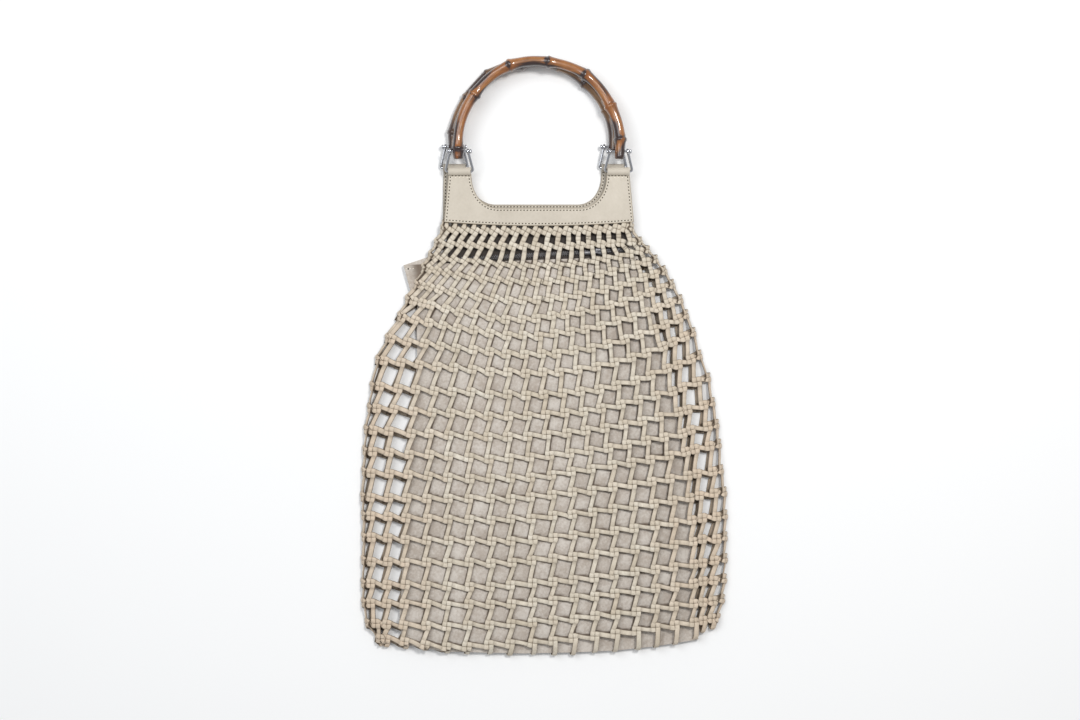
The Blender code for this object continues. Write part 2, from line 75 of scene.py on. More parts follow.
# Knot rows from the yokes down: side folds, and the height of the lowest point between them.
ROW_WORDS = ("left_x", "left_y", "low_y", "right_y", "right_x")
ROWS = (
    (-100, 127, 124.2, 128.5, 88),
    (-103, 120, 117, 121, 92),
    (-107, 113, 109.5, 115, 97),
    (-113, 100.5, 90.5, 107, 105),
    (-119, 88, 73.8, 97, 112),
    (-127, 72, 55.5, 85, 120),
    (-135, 56, 36.6, 72, 128),
    (-143, 39, 20, 58, 137),
    (-156, 18, 1.6, 41, 143),
    (-165, -4, -17, 23, 150),
    (-171, -30, -39, 1, 157),
    (-174, -52, -60, -21, 165),
    (-177, -74, -81, -46, 170),
    (-178, -95, -102.5, -68, 173),
    (-179, -116, -123, -88, 175),
    (-180, -141, -142.8, -113, 178),
    (-180, -160, -164, -136, 181),
    (-180, -181, -185.4, -159, 182),
    (-180, -205, -206.9, -181, 182),
    (-180, -228, -230.4, -203, 182),
    (-179, -247, -248.6, -223, 181),
    (-175, -268, -269.8, -243, 179),
    (-165, -282, -290.5, -262, 175),
)
LAST_ROW = len(ROWS) - 1
# How some rows sag: row, where it is lowest, and how steeply it climbs to the left and to the right.
SAGS = ((0, 5, 2.2, 1.6), (3, 5, 2.2, 1.6), (6, -35, 1.25, 1.95), (9, -12, 1.3, 2.0), (10, -20, 1.3, 2.2),
        (12, -45, 1.25, 1.9), (14, -45, 1.4, 1.45), (17, -45, 1.4, 1.3), (22, -85, 1.6, 1.5))
# Where the knot columns cross some of the rows.
PLACE_COLUMNS = (1, 2, 3, 5, 7, 9, 11, 13, 15, 17, 18, 19)
PLACES = {
    0: (-96.5, -87.6, -78.2, -59, -38.5, -17.6, 4.3, 24.4, 44, 64.5, 73.8, 82.3),
    2: (-102, -92.8, -83.2, -62.9, -41.5, -20.1, 5, 26.9, 47.5, 67.8, 77.7, 88.5),
    3: (-107, -99, -89, -67, -43.4, -19, 4.3, 29, 52, 75, 86, 96.5),
    6: (-130, -120.7, -111, -84, -52.5, -21, 7.9, 36.8, 67, 95, 107, 118.5),
    8: (-152, -135.5, -118.5, -87, -53, -18.5, 14, 47.5, 81, 110, 121.5, 134),
    9: (-159.5, -141.5, -124, -89, -53.3, -17.6, 17, 53, 88.6, 118.5, 130, 141.5),
    12: (-170, -154, -132.6, -94, -55, -15, 24, 61.4, 98.5, 134.4, 144.5, 160.4),
    14: (-172, -153.5, -135, -95, -52.8, -12.6, 28.8, 69, 107.5, 142.5, 151, 167),
    17: (-172, -155.5, -138, -95, -51.6, -11, 30, 71, 112, 149, 159, 174),
    20: (-172.5, -156, -139, -96.2, -53.3, -11, 30.6, 72, 112.4, 150.2, 159.6, 171),
    22: (-162, -156.6, -138.7, -97, -54.4, -11, 31, 72.7, 112.7, 151, 160, 169),
}
# Height of the front layer over the floor, at some of the columns: column and height.
CROWN = ((0, 5.6), (1, 8.2), (2, 8.8), (3, 10.6), (4, 11.0), (9, 11.2), (12, 12.6), (15, 14.0),
         (16, 13.8), (17, 12.8), (18, 8.6), (19, 7.8), (20, 4.8))
# Knots of some of the rows: row, size, and degrees that they are turned.
KNOTS = ((0, 0.99, -25), (1, 0.8, -25), (2, 0.88, -14), (3, 0.87, -26), (4, 0.92, -12), (6, 0.96, 0),
         (9, 1.0, 2), (22, 1.0, 0))
UNKNOTTED_ROW = 1  # strips run straight past here, wide and close together
CLOSE_STRIP = 5.1
TOP_ROWS = 4  # strips run down wider above this row
TOP_STRIP = 4.7
KNOT_WANDER = 0.45  # how far knots stray
CALM_ROWS = 3  # above this row they stray less, by this share
CALM_SHARE = 0.45
# The base edge that the strips turn round: x and y.
BASE_EDGE = ((-160, -291), (-99, -298), (-20, -300), (27, -299), (74, -296.5), (112, -292),
             (150, -286), (165, -274))

# One end of a strip in its knot: across, along and out of the net.
KNOT_END = np.array([(2.4, 3.2, -0.9), (2.4, 1.5, -0.85), (2.4, 0.5, -0.45), (2.4, -0.3, 0.5),
                     (2.4, -0.9, 1.15), (2.35, -2.4, 1.3)])
END_STATIONS = len(KNOT_END)
END_CREASE_SHADE = (1.0, 1.0, 1.0, 0.85, 0.0, 0.0)  # painted shade at each station: full under the neighbouring pad, none on its own pad
# Painted shade where a strip steps down off its pad.
STEP_CREASE_SHADE = (0.0, 0.35, 0.2, 0.0)
# How a strip comes down off its knot: distance along it, and how far below the knot's face.
STEP_DOWN = ((1.4, 0.12), (2.3, 0.55), (3.2, 1.0))
STRAP_DROP = 1.1  # how far the middle of a strip lies below its knots' faces
# A strip's section, in shares of half its width and thickness.
STRIP_PROFILE = np.array([(-1.09, -0.8), (-0.97, 0.5), (-0.8, 1.0), (0.8, 1.0), (0.97, 0.5), (1.09, -0.8),
                          (0.85, -0.9), (-0.85, -0.9)])
STRIP_RAW = (1.0, 0.55, 0.0, 0.0, 0.55, 1.0, 0.55, 0.55)  # cut edges and the brown flesh side

YOKE_X = middle("handle_front")[0]
YOKE_THICK = 3.4
YOKE_HALF_TOP = 90.5
YOKE_HALF_BASE = 95.0
YOKE_BASE_SIDE = 133.8
YOKE_BASE_SAG = 3.8
ARM_TOP = 182.5
CUT_HALF = 67.5
CUT_FLOOR = 148.0
CUT_CORNER = (26.0, 32.0)  # width and height of the hand cut-out's quarter ellipses
LOOP_Y = 184.5
LOOP_ARM = 79.5  # from the yoke's middle to the middle of each arm
LOOP_HALF = 11.2
LOOP_OUTER = 4.2
LOOP_BORE = 1.9
LOOP_SIDES = 36
FRONT_YOKE_Z = 8.6
FRONT_LOOP_Z = 12.9
BACK_LOOP_Z = 4.2
# The back yoke lies on the floor, shifted a little from the front one.
BACK_TOP_SHIFT = -5.5
BACK_BASE_SHIFT = -1.5
BACK_RISE = 4.0
STITCH_PITCH = 3.3
STITCH_SLANT = 0.3
STITCH_INSET = 2.3
THREAD_RADIUS = 0.5
LOOP_SEAM_Y = 178.4
LOOP_SEAM_HALF = 9.6
HIGH_SEAM_DEPTH = 0.12  # how far each seam lies inside its face
LOW_SEAM_DEPTH = 0.42

# The pouch from its mouth down: y, and its left and right edges.
POUCH = ((91, -140, 94), (68, -133, 102), (56, -125, 107), (26, -127, 112), (-4, -126, 117),
         (-44, -128, 127), (-94, -132, 137), (-144, -137, 145), (-204, -141, 149), (-254, -143, 152),
         (-281, -141, 156))
POUCH_TILT = 9.0  # its right side sits higher than its left, more so at the base
POUCH_BASE_LIFT = 17.0
# Where the foot of the pouch lies along the base: x and y.
POUCH_FOOT = ((-141, -289), (-99, -296), (-20, -298), (27, -297), (74, -295), (112, -291), (156, -284))
POUCH_FRONT_MID = 5.3  # mid heights of the two panels at their edges
POUCH_BACK_MID = 3.6
POUCH_PUFF = 3.0  # how much the front one swells in its middle
MOUTH_RISE = 1.2  # and how much it rises at its mouth, over the zip
PANEL_THICK = 1.2
# The back panel reaches up behind the zip: y, left and right.
POUCH_BACK_TOP = ((124.0, -88.0, 80.0), (114.0, -94.0, 87.0), (104.0, -101.0, 95.0))

ZIP_LEFT = np.array((-95.0, 96.0))
ZIP_RIGHT = np.array((84.0, 106.5))
TAPE_MID = 5.0
TAPE_THICK = 0.7


# ---------------------------------------------------------------- small tools


def blend(low, high, share):
    """The value at a share of the way from low to high."""
    return low + (high - low) * share


def smooth(share):
    """A smooth step from 0 to 1."""
    share = np.clip(share, 0.0, 1.0)
    return share * share * (3 - 2 * share)


def unit(vector):
    """Each vector made one long."""
    return vector / np.linalg.norm(vector, axis=-1, keepdims=True)


def table_value(table, place, column=1):
    """Straight interpolation in a table whose first column is the place."""
    return np.interp(place, [line[0] for line in table], [line[column] for line in table])


def mesh_piece(name, points, faces, material, body, marks=None, flat_angle=None):
    """A piece from points in millimetres. marks gives values for the material at each point."""
    points = np.asarray(points, float)
    if enclosed(points, faces) < 0:
        faces = [tuple(reversed(face)) for face in faces]
    mesh = bpy.data.meshes.new(name)
    mesh.from_pydata([tuple(p) for p in points * MM], [], faces)
    for mark, values in (marks or {}).items():
        layer = mesh.attributes.new(mark, "FLOAT", "POINT")
        layer.data.foreach_set("value", np.asarray(values, np.float32))
    mesh.materials.append(material)
    mesh.shade_smooth()
    if flat_angle:
        mesh.set_sharp_from_angle(angle=math.radians(flat_angle))
    obj = bpy.data.objects.new(name, mesh)
    bpy.context.scene.collection.objects.link(obj)
    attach(obj, body)
    return obj


def enclosed(points, faces):
    """Signed volume, from a fan of each face."""
    corners = np.array([(f[0], f[i], f[i + 1]) for f in faces for i in range(1, len(f) - 1)])
    a, b, c = points[corners[:, 0]], points[corners[:, 1]], points[corners[:, 2]]
    return float(np.einsum("ij,ij->i", a, np.cross(b, c)).sum())


def tube_faces(rings, sides, ends="capped"):
    """Faces of a tube of rings. Its ends are capped, open, or joined to each other."""
    faces = []
    for ring in range(rings - 1):
        for side in range(sides):
            here = ring * sides + side
            after = ring * sides + (side + 1) % sides
            faces.append((here, after, after + sides, here + sides))
    last = (rings - 1) * sides
    if ends == "capped":
        faces.append(tuple(reversed(range(sides))))
        faces.append(tuple(range(last, last + sides)))
    if ends == "joined":
        for side in range(sides):
            after = (side + 1) % sides
            faces.append((last + side, last + after, after, side))
    return faces


def turned(centre, profile, sides):
    """Points of a shape turned about X. profile gives places along it, with the radius at each."""
    angles = math.tau * np.arange(sides) / sides
    return np.array([centre + (x, radius * math.cos(angle), radius * math.sin(angle))
                     for x, radius in profile for angle in angles])


class Bundle:
    """Collects many small closed pieces into one mesh."""

    def __init__(self, *marks):
        self.points = []
        self.faces = []
        self.count = 0
        self.marks = {mark: [] for mark in marks}

    def add(self, points, faces, **marks):
        """Takes in one closed piece. Each mark is one value for all its points, or a value for each."""
        self.points.append(points)
        self.faces += [tuple(i + self.count for i in face) for face in faces]
        self.count += len(points)
        for mark, values in self.marks.items():
            values.append(np.broadcast_to(marks[mark], len(points)))

    def piece(self, name, material, body, slot, flat_angle=None):
        """Makes the mesh of everything taken in."""
        marks = {mark: np.concatenate(values) for mark, values in self.marks.items()}
        points = np.concatenate(self.points)
        return mesh_piece(name, points, self.faces, material, body, marks, flat_angle)


def sweep(path, radii, sides, upward=(0.0, 0.0, 1.0)):
    """Rings of points round a path. The first spoke of each ring lies across upward."""
    path = np.asarray(path, float)
    along = unit(np.gradient(path, axis=0))
    across = unit(np.cross(along, np.broadcast_to(upward, along.shape)))
    up = np.cross(across, along)
    angles = math.tau * np.arange(sides) / sides
    rings = across[:, None] * np.cos(angles)[None, :, None] + up[:, None] * np.sin(angles)[None, :, None]
    if np.ndim(radii) < 2:
        radii = np.tile(np.broadcast_to(radii, len(path))[:, None], (1, sides))
    return (path[:, None] + rings * radii[..., None]).reshape(-1, 3)


def thin_sheet(name, grid, thickness, material, body, marks=None):
    """A closed sheet from a grid of points along its middle."""
    down, across = grid.shape[:2]
    normal = unit(np.cross(np.gradient(grid, axis=1), np.gradient(grid, axis=0)))
    normal *= np.sign(normal[..., 2:3])
    points = np.concatenate([(grid + normal * thickness / 2).reshape(-1, 3),
                             (grid - normal * thickness / 2).reshape(-1, 3)])
    number = np.arange(down * across).reshape(down, across)
    under = down * across
    faces = []
    for row in range(down - 1):
        for column in range(across - 1):
            face = (number[row, column], number[row, column + 1],
                    number[row + 1, column + 1], number[row + 1, column])
            faces.append(tuple(int(i) for i in face))
            faces.append(tuple(int(i) + under for i in reversed(face)))
    rim = [*number[0, :], *number[1:, -1], *number[-1, -2::-1], *number[-2:0:-1, 0]]
    for here, after in zip(rim, rim[1:] + rim[:1]):
        here, after = int(here), int(after)
        faces.append((after, here, here + under, after + under))
    doubled = {mark: np.tile(np.asarray(values).reshape(-1), 2) for mark, values in (marks or {}).items()}
    return mesh_piece(name, points, faces, material, body, doubled, flat_angle=50)


# ---------------------------------------------------------------- finishes


def set_sockets(node, values):
    """Sets a node's sockets. In their names an underscore stands for a space."""
    for socket, value in values.items():
        node.inputs[socket.replace("_", " ")].default_value = value


def add_node(tree, kind, **values):
    """A new node with values on its sockets."""
    made = tree.nodes.new(kind)
    set_sockets(made, values)
    return made


def new_group(name, inputs, outputs):
    """A shader node group with float sockets, given as names with defaults, and its two end nodes."""
    group = bpy.data.node_groups.new(name, "ShaderNodeTree")
    for socket, value in inputs.items():
        made = group.interface.new_socket(socket, in_out="INPUT", socket_type="NodeSocketFloat")
        made.default_value = value
    for socket in outputs:
        group.interface.new_socket(socket, in_out="OUTPUT", socket_type="NodeSocketFloat")
    return group, group.nodes.new("NodeGroupInput"), group.nodes.new("NodeGroupOutput")


def math_node(tree, operation, first, second):
    """A Math node. Each side is a number or an output."""
    made = tree.nodes.new("ShaderNodeMath")
    made.operation = operation
    for index, value in enumerate((first, second)):
        if isinstance(value, (int, float)):
            made.inputs[index].default_value = value
        else:
            tree.links.new(value, made.inputs[index])
    return made.outputs[0]


def grain_group():
    """Fine pores and soft creases, as a height and as a shade."""
    group, entry, leave = new_group("grain", {"Pores": 1500.0, "Creases": 260.0, "Crease Share": 0.4},
                                    ("Height", "Shade"))
    place = group.nodes.new("ShaderNodeTexCoord").outputs["Object"]
    pores = add_node(group, "ShaderNodeTexVoronoi", Randomness=1.0)
    creases = add_node(group, "ShaderNodeTexNoise", Detail=5.0, Roughness=0.6)
    group.links.new(place, pores.inputs["Vector"])
    group.links.new(place, creases.inputs["Vector"])
    group.links.new(entry.outputs["Pores"], pores.inputs["Scale"])
    group.links.new(entry.outputs["Creases"], creases.inputs["Scale"])
    pitted = math_node(group, "MULTIPLY", pores.outputs["Distance"], 0.5)
    lifted = math_node(group, "MULTIPLY", creases.outputs[0], entry.outputs["Crease Share"])
    height = math_node(group, "ADD", pitted, lifted)
    group.links.new(height, leave.inputs["Height"])
    group.links.new(creases.outputs[0], leave.inputs["Shade"])
    return group


def mottle_group():
    """Cloudy colour variation at two sizes, from about 0 to 1."""
    group, entry, leave = new_group("mottle", {"Clouds": 25.0, "Flecks": 180.0, "Fleck Share": 0.4},
                                    ("Tone",))
    place = group.nodes.new("ShaderNodeTexCoord").outputs["Object"]
    clouds = add_node(group, "ShaderNodeTexNoise", Detail=3.0)
    flecks = add_node(group, "ShaderNodeTexNoise", Detail=4.0, Roughness=0.65)
    for texture, socket in ((clouds, "Clouds"), (flecks, "Flecks")):
        group.links.new(place, texture.inputs["Vector"])
        group.links.new(entry.outputs[socket], texture.inputs["Scale"])
    mixed = group.nodes.new("ShaderNodeMix")
    group.links.new(entry.outputs["Fleck Share"], mixed.inputs["Factor"])
    group.links.new(clouds.outputs[0], mixed.inputs[2])
    group.links.new(flecks.outputs[0], mixed.inputs[3])
    spread = group.nodes.new("ShaderNodeMapRange")
    spread.inputs["From Min"].default_value = 0.3
    spread.inputs["From Max"].default_value = 0.7
    group.links.new(mixed.outputs[0], spread.inputs["Value"])
    group.links.new(spread.outputs[0], leave.inputs["Tone"])
    return group


GRAIN = grain_group()
MOTTLE = mottle_group()


class Finish:
    """A material under construction, with short ways to join its nodes."""

    def __init__(self, name, **shader):
        self.material = bpy.data.materials.new(name)
        self.material.use_nodes = True
        self.tree = self.material.node_tree
        self.shader = self.tree.nodes["Principled BSDF"]
        set_sockets(self.shader, shader)

    def mark(self, name):
        """A value that the mesh carries at each point."""
        made = self.tree.nodes.new("ShaderNodeAttribute")
        made.attribute_name = name
        return made.outputs["Fac"]

    def group(self, group, **values):
        """A shared group with this finish's own values."""
        made = self.tree.nodes.new("ShaderNodeGroup")
        made.node_tree = group
        set_sockets(made, values)
        return made.outputs

    def mottle(self, clouds, flecks, share):
        """Cloudy tone from about 0 to 1, by how many clouds and flecks go to a metre."""
        return self.group(MOTTLE, Clouds=clouds, Flecks=flecks, Fleck_Share=share)["Tone"]

    def grain(self, pores, creases, share, depth, strength):
        """Raises the shared grain on the surface, and returns the shade of its creases."""
        made = self.group(GRAIN, Pores=pores, Creases=creases, Crease_Share=share)
        self.bump(made["Height"], depth, strength)
        return made["Shade"]

    def mix(self, share, low, high):
        """A mix of two colours, each a tuple or an output."""
        made = self.tree.nodes.new("ShaderNodeMix")
        made.data_type = "RGBA"
        for socket, value in ((0, share), (6, low), (7, high)):
            if isinstance(value, tuple):
                made.inputs[socket].default_value = (*value, 1.0)
            elif isinstance(value, (int, float)):
                made.inputs[socket].default_value = value
            else:
                self.tree.links.new(value, made.inputs[socket])
        return made.outputs[2]

    def spread(self, value, low, high, to_low=0.0, to_high=1.0):
        """The value, smoothly stretched from one range to another."""
        made = self.tree.nodes.new("ShaderNodeMapRange")
        made.interpolation_type = "SMOOTHSTEP"
        ends = {"From Min": low, "From Max": high, "To Min": to_low, "To Max": to_high}
        for socket, number in ends.items():
            made.inputs[socket].default_value = number
        self.tree.links.new(value, made.inputs["Value"])
        return made.outputs[0]

    def noise(self, vector, scale, detail):
        """Smooth noise over a vector."""
        made = add_node(self.tree, "ShaderNodeTexNoise", Scale=scale, Detail=detail)
        self.tree.links.new(vector, made.inputs["Vector"])
        return made.outputs[0]

    def feed(self, socket, value):
        """Joins a value to a socket of the shader."""
        self.tree.links.new(value, self.shader.inputs[socket])

    def bump(self, height, distance, strength):
        """Raises the surface by a height, through its normal."""
        made = add_node(self.tree, "ShaderNodeBump", Distance=distance, Strength=strength)
        self.tree.links.new(height, made.inputs["Height"])
        self.feed("Normal", made.outputs[0])


def strip_leather():
    """Soft cut leather strip: each length has its own tone, its raw edges are dark, and shade is painted into
    its creases and under the knots' pads.
    """
    made = Finish("strip leather", Specular_IOR_Level=0.35)
    colour = made.mix(made.mark("tone"), (0.65, 0.58, 0.465), (0.82, 0.765, 0.66))
    colour = made.mix(made.mark("warm"), colour, (0.73, 0.585, 0.45))
    clouds = made.mottle(90.0, 600.0, 0.5)
    colour = made.mix(made.spread(clouds, 0.1, 0.9, 0.0, 0.6), colour, (0.50, 0.425, 0.325))
    colour = made.mix(made.mark("raw"), colour, (0.17, 0.12, 0.08))
    # Painted shade in the creases and under the knots' pads.
    colour = made.mix(made.mark("crease"), colour, (0.13, 0.095, 0.065))
    made.feed("Base Color", colour)
    creases = made.grain(2400.0, 500.0, 0.9, 0.0004, 0.7)
    made.feed("Roughness", made.spread(creases, 0.3, 0.7, 0.5, 0.72))
    return made.material


def yoke_leather(name, shade):
    """Stiff panel leather with a fine closed grain, darker painted edges and painted shade in its stitch
    groove. shade scales its colours; below 1 it is painted shade.
    """

    def shaded(*colour):
        return tuple(shade * c for c in colour)

    made = Finish(name, Specular_IOR_Level=0.4)
    clouds = made.mottle(30.0, 350.0, 0.35)
    colour = made.mix(clouds, shaded(0.53, 0.475, 0.395), shaded(0.655, 0.595, 0.505))
    # Dark edge paint on the rim, and painted shade in the stitch groove.
    colour = made.mix(made.mark("edge"), colour, shaded(0.36, 0.30, 0.22))
    made.feed("Base Color", colour)
    creases = made.grain(1900.0, 300.0, 0.5, 0.0003, 0.6)
    made.feed("Roughness", made.spread(creases, 0.3, 0.7, 0.46, 0.62))
    return made.material


def suede():
    """Brushed suede: cloudy nap, with painted shade where the net's strips lie close over it, so it is paler
    where it swells in each gap.
    """
    made = Finish("suede", Specular_IOR_Level=0.15, Sheen_Weight=0.25, Sheen_Roughness=0.5)
    clouds = made.mottle(55.0, 380.0, 0.5)
    colour = made.mix(made.spread(clouds, 0.1, 0.9), (0.48, 0.415, 0.355), (0.70, 0.645, 0.585))
    # Painted shade, dark brown, where a strip of the net lies close over the suede.
    colour = made.mix(made.spread(made.mark("strip_shade"), 0.0, 1.0, 0.0, 0.9), colour, (0.15, 0.11, 0.08))
    made.feed("Base Color", colour)
    creases = made.grain(3000.0, 900.0, 1.4, 0.0004, 0.8)
    made.feed("Roughness", made.spread(creases, 0.3, 0.7, 0.86, 0.98))
    return made.material


def zip_cotton():
    """Charcoal woven tape, ribbed across."""
    made = Finish("zip cotton", Specular_IOR_Level=0.2, Sheen_Weight=0.15)
    place = made.tree.nodes.new("ShaderNodeTexCoord").outputs["Object"]
    ribs = add_node(made.tree, "ShaderNodeTexWave", Scale=330.0, Distortion=1.2)
    made.tree.links.new(place, ribs.inputs["Vector"])
    clouds = made.mottle(60.0, 900.0, 0.5)
    colour = made.mix(clouds, (0.07, 0.059, 0.053), (0.115, 0.098, 0.088))
    between = made.spread(ribs.outputs["Fac"], 0.0, 1.0, 0.0, 0.4)
    made.feed("Base Color", made.mix(between, colour, (0.03, 0.028, 0.03)))
    made.feed("Roughness", made.spread(clouds, 0.0, 1.0, 0.8, 0.95))
    made.bump(ribs.outputs["Fac"], 0.0003, 0.8)
    return made.material


def bright_metal(name, colour, low, high):
    """Plated metal with faint smears."""
    made = Finish(name, Metallic=1.0)
    clouds = made.mottle(120.0, 900.0, 0.5)
    made.feed("Base Color", made.mix(clouds, tuple(c * 0.86 for c in colour), colour))
    made.feed("Roughness", made.spread(clouds, 0.0, 1.0, low, high))
    made.grain(1200.0, 700.0, 0.8, 0.0001, 0.25)
    return made.material


def thread():
    """Pale waxed thread, twisted."""
    made = Finish("thread", Specular_IOR_Level=0.3)
    clouds = made.mottle(300.0, 1500.0, 0.6)
    made.feed("Base Color", made.mix(clouds, (0.76, 0.70, 0.58), (0.92, 0.88, 0.79)))
    made.feed("Roughness", made.spread(clouds, 0.0, 1.0, 0.6, 0.8))
    made.grain(4000.0, 2000.0, 1.0, 0.0002, 0.8)
    return made.material


def needle_hole_shade():
    """Painted shade inside a needle hole: near black brown."""
    made = Finish("needle hole shade", Specular_IOR_Level=0.1)
    clouds = made.mottle(300.0, 1500.0, 0.6)
    made.feed("Base Color", made.mix(clouds, (0.03, 0.022, 0.015), (0.08, 0.06, 0.04)))
    made.feed("Roughness", made.spread(clouds, 0.0, 1.0, 0.85, 0.95))
    return made.material


def lacquered_bamboo(name, pale, body, dark):
    """Bamboo scorched near its joints, with painted shade dark along its sides, under clear lacquer."""
    made = Finish(name, Coat_Weight=0.9, Coat_Roughness=0.08, Coat_IOR=1.5)
    fibre = made.tree.nodes.new("ShaderNodeCombineXYZ")
    for index, mark in enumerate(("along", "spoke_x", "spoke_y")):
        made.tree.links.new(made.mark(mark), fibre.inputs[index])
    streaks = made.noise(fibre.outputs[0], 2.2, 5.0)
    fine = made.noise(fibre.outputs[0], 9.0, 4.0)
    colour = made.mix(made.spread(streaks, 0.36, 0.64), body, pale)
    colour = made.mix(made.spread(fine, 0.42, 0.7, 0.0, 0.7), colour, tuple(c * 0.45 for c in body))
    # The mesh's scorch, plus painted shade down the cane's flanks, darkens the colour.
    scorch_and_shade = made.tree.nodes.new("ShaderNodeMath")
    scorch_and_shade.operation = "MULTIPLY_ADD"
    made.tree.links.new(made.mark("scorch_and_shade"), scorch_and_shade.inputs[0])
    scorch_and_shade.inputs[1].default_value = 1.15
    made.tree.links.new(made.spread(streaks, 0.35, 0.68, -0.3, 0.35), scorch_and_shade.inputs[2])
    colour = made.mix(made.spread(scorch_and_shade.outputs[0], 0.12, 0.85), colour, dark)
    made.feed("Base Color", colour)
    made.feed("Roughness", made.spread(fine, 0.3, 0.7, 0.25, 0.42))
    made.bump(fine, 0.0002, 0.5)
    return made.material


def floor_paper():
    """Pale matt paper, faintly cloudy."""
    made = Finish("floor paper", Specular_IOR_Level=0.0, Roughness=1.0)
    clouds = made.mottle(3.0, 40.0, 0.2)
    made.feed("Base Color", made.mix(clouds, (0.957, 0.96, 0.965), (0.962, 0.965, 0.97)))
    return made.material


STRIP = strip_leather()
# The back yoke's leather is the front's, darkened to 0.8 as painted shade.
PANEL = {"front": yoke_leather("yoke leather", 1.0), "back": yoke_leather("back yoke leather in painted shade", 0.8)}
SUEDE = suede()
COTTON = zip_cotton()
CHROME = bright_metal("chrome", (0.60, 0.61, 0.645), 0.06, 0.16)
NICKEL = bright_metal("zip nickel", (0.24, 0.235, 0.245), 0.2, 0.4)
THREAD = thread()
HOLE_SHADE = needle_hole_shade()
CANE_FRONT = lacquered_bamboo("bamboo front", (0.47, 0.2, 0.06), (0.28, 0.092, 0.02), (0.03, 0.012, 0.01))
CANE_BACK = lacquered_bamboo("bamboo back", (0.32, 0.17, 0.07), (0.19, 0.09, 0.032), (0.045, 0.02, 0.014))


# ---------------------------------------------------------------- the net


def row_values(row):
    """A row of ROWS by its column names."""
    return dict(zip(ROW_WORDS, ROWS[row]))


def row_height(row, x):
    """Height of a row at x: lowest near its middle, and climbing to the folds."""
    line = row_values(row)
    low_x, left_power, right_power = (table_value(SAGS, row, column) for column in (1, 2, 3))
    left = np.clip((low_x - x) / (low_x - line["left_x"]), 0, 1.3) ** left_power
    right = np.clip((x - low_x) / (line["right_x"] - low_x), 0, 1.3) ** right_power
    y = blend(line["low_y"], line["left_y"], left)
    return y + (line["right_y"] - line["low_y"]) * right


def column_places(row):
    """Where all the columns cross a row, folds included."""
    known = sorted(PLACES)
    listed = [np.interp(row, known, [PLACES[r][i] for r in known]) for i in range(len(PLACE_COLUMNS))]
    line = row_values(row)
    inside = np.interp(range(1, COLUMNS), PLACE_COLUMNS, listed)
    return np.array([line["left_x"], *inside, line["right_x"]])


COLUMN_X = np.array([column_places(row) for row in range(LAST_ROW + 1)])


def crown(row, column):
    """Height of a knot over the floor: level at the yoke, and crowned over the pouch further down."""
    return blend(YOKE_LEVEL, table_value(CROWN, column), smooth((row - 1) / 7))


def lay_knots():
    """Middle of every knot, row by row, right round the bag from the left fold over the front."""
    places = np.zeros((LAST_ROW + 1, AROUND, 3))
    for row in range(LAST_ROW + 1):
        for number in range(AROUND):
            column = number if number <= COLUMNS else AROUND - number
            x = COLUMN_X[row, column]
            y = row_height(row, x)
            z = crown(row, column)
            if number > COLUMNS:
                x, y, z = x + BACK_SHIFT[0], y + BACK_SHIFT[1], BACK_LEVEL
            wander = DRAW.normal(0, KNOT_WANDER, 3) * (1, 1, 0.25 if number <= COLUMNS else 0)
            if row < CALM_ROWS:
                wander *= CALM_SHARE
            places[row, number] = np.array((x, y, z)) + wander
    return places


KNOT_PLACES = lay_knots()
LEFT_FOLD_OUT = np.array((-0.92, 0.0, 0.39))
RIGHT_FOLD_OUT = np.array((0.86, 0.0, 0.51))


def knot_frames():
    """Across, up and outward directions of every knot, with its size."""
    frames = np.zeros((LAST_ROW + 1, AROUND, 3, 3))
    sizes = np.zeros((LAST_ROW + 1, AROUND))
    for row in range(LAST_ROW + 1):
        for number in range(AROUND):
            above, below = max(row - 1, 0), min(row + 1, LAST_ROW)
            up = unit(KNOT_PLACES[above, number] - KNOT_PLACES[below, number])
            across = KNOT_PLACES[row, (number + 1) % AROUND] - KNOT_PLACES[row, number - 1]
            out = unit(np.cross(across, up))
            if number == 0:
                out = LEFT_FOLD_OUT
            if number == COLUMNS:
                out = RIGHT_FOLD_OUT
            if number > COLUMNS:
                out = np.array((0.0, 0.0, -1.0))
            # The knot follows its row more than its column.
            if number not in (0, COLUMNS):
                across = unit(across - out * np.dot(across, out))
                up = unit(0.6 * np.cross(out, across) + 0.4 * up)
            up = unit(up - out * np.dot(up, out))
            turn = math.radians(table_value(KNOTS, row, 2) + DRAW.normal(0, 3))
            across = np.cross(up, out)
            frames[row, number, 0] = across * math.cos(turn) + up * math.sin(turn)
            frames[row, number, 1] = up * math.cos(turn) - across * math.sin(turn)
            frames[row, number, 2] = out
            sizes[row, number] = table_value(KNOTS, row, 1) * DRAW.normal(1, 0.025)
    return frames, sizes


KNOT_FRAMES, KNOT_SIZES = knot_frames()
QUARTERS = {"down": 0, "right": 1, "up": 2, "left": 3}


def knot_end(row, number, way):
    """Stations of a strip from under its knot out to the middle of its pad there."""
    across, up, out = KNOT_FRAMES[row, number]
    size = KNOT_SIZES[row, number]
    end = KNOT_END * size
    at_back = number > COLUMNS
    if at_back:
        # Knots at the back are tied as mirror images, so the strips of both layers lean the same way.
        way = {"left": "right", "right": "left"}.get(way, way)
    for _ in range(QUARTERS[way]):
        end = np.column_stack((-end[:, 1], end[:, 0], end[:, 2]))
    if at_back:
        end[:, 0] *= -1
    press = BACK_PRESS if at_back else 1.0
    stations = KNOT_PLACES[row, number] + end[:, :1] * across + end[:, 1:2] * up + end[:, 2:] * out * press
    return stations, np.tile(out, (len(end), 1)), np.full(len(end), PAD_WIDE * size)


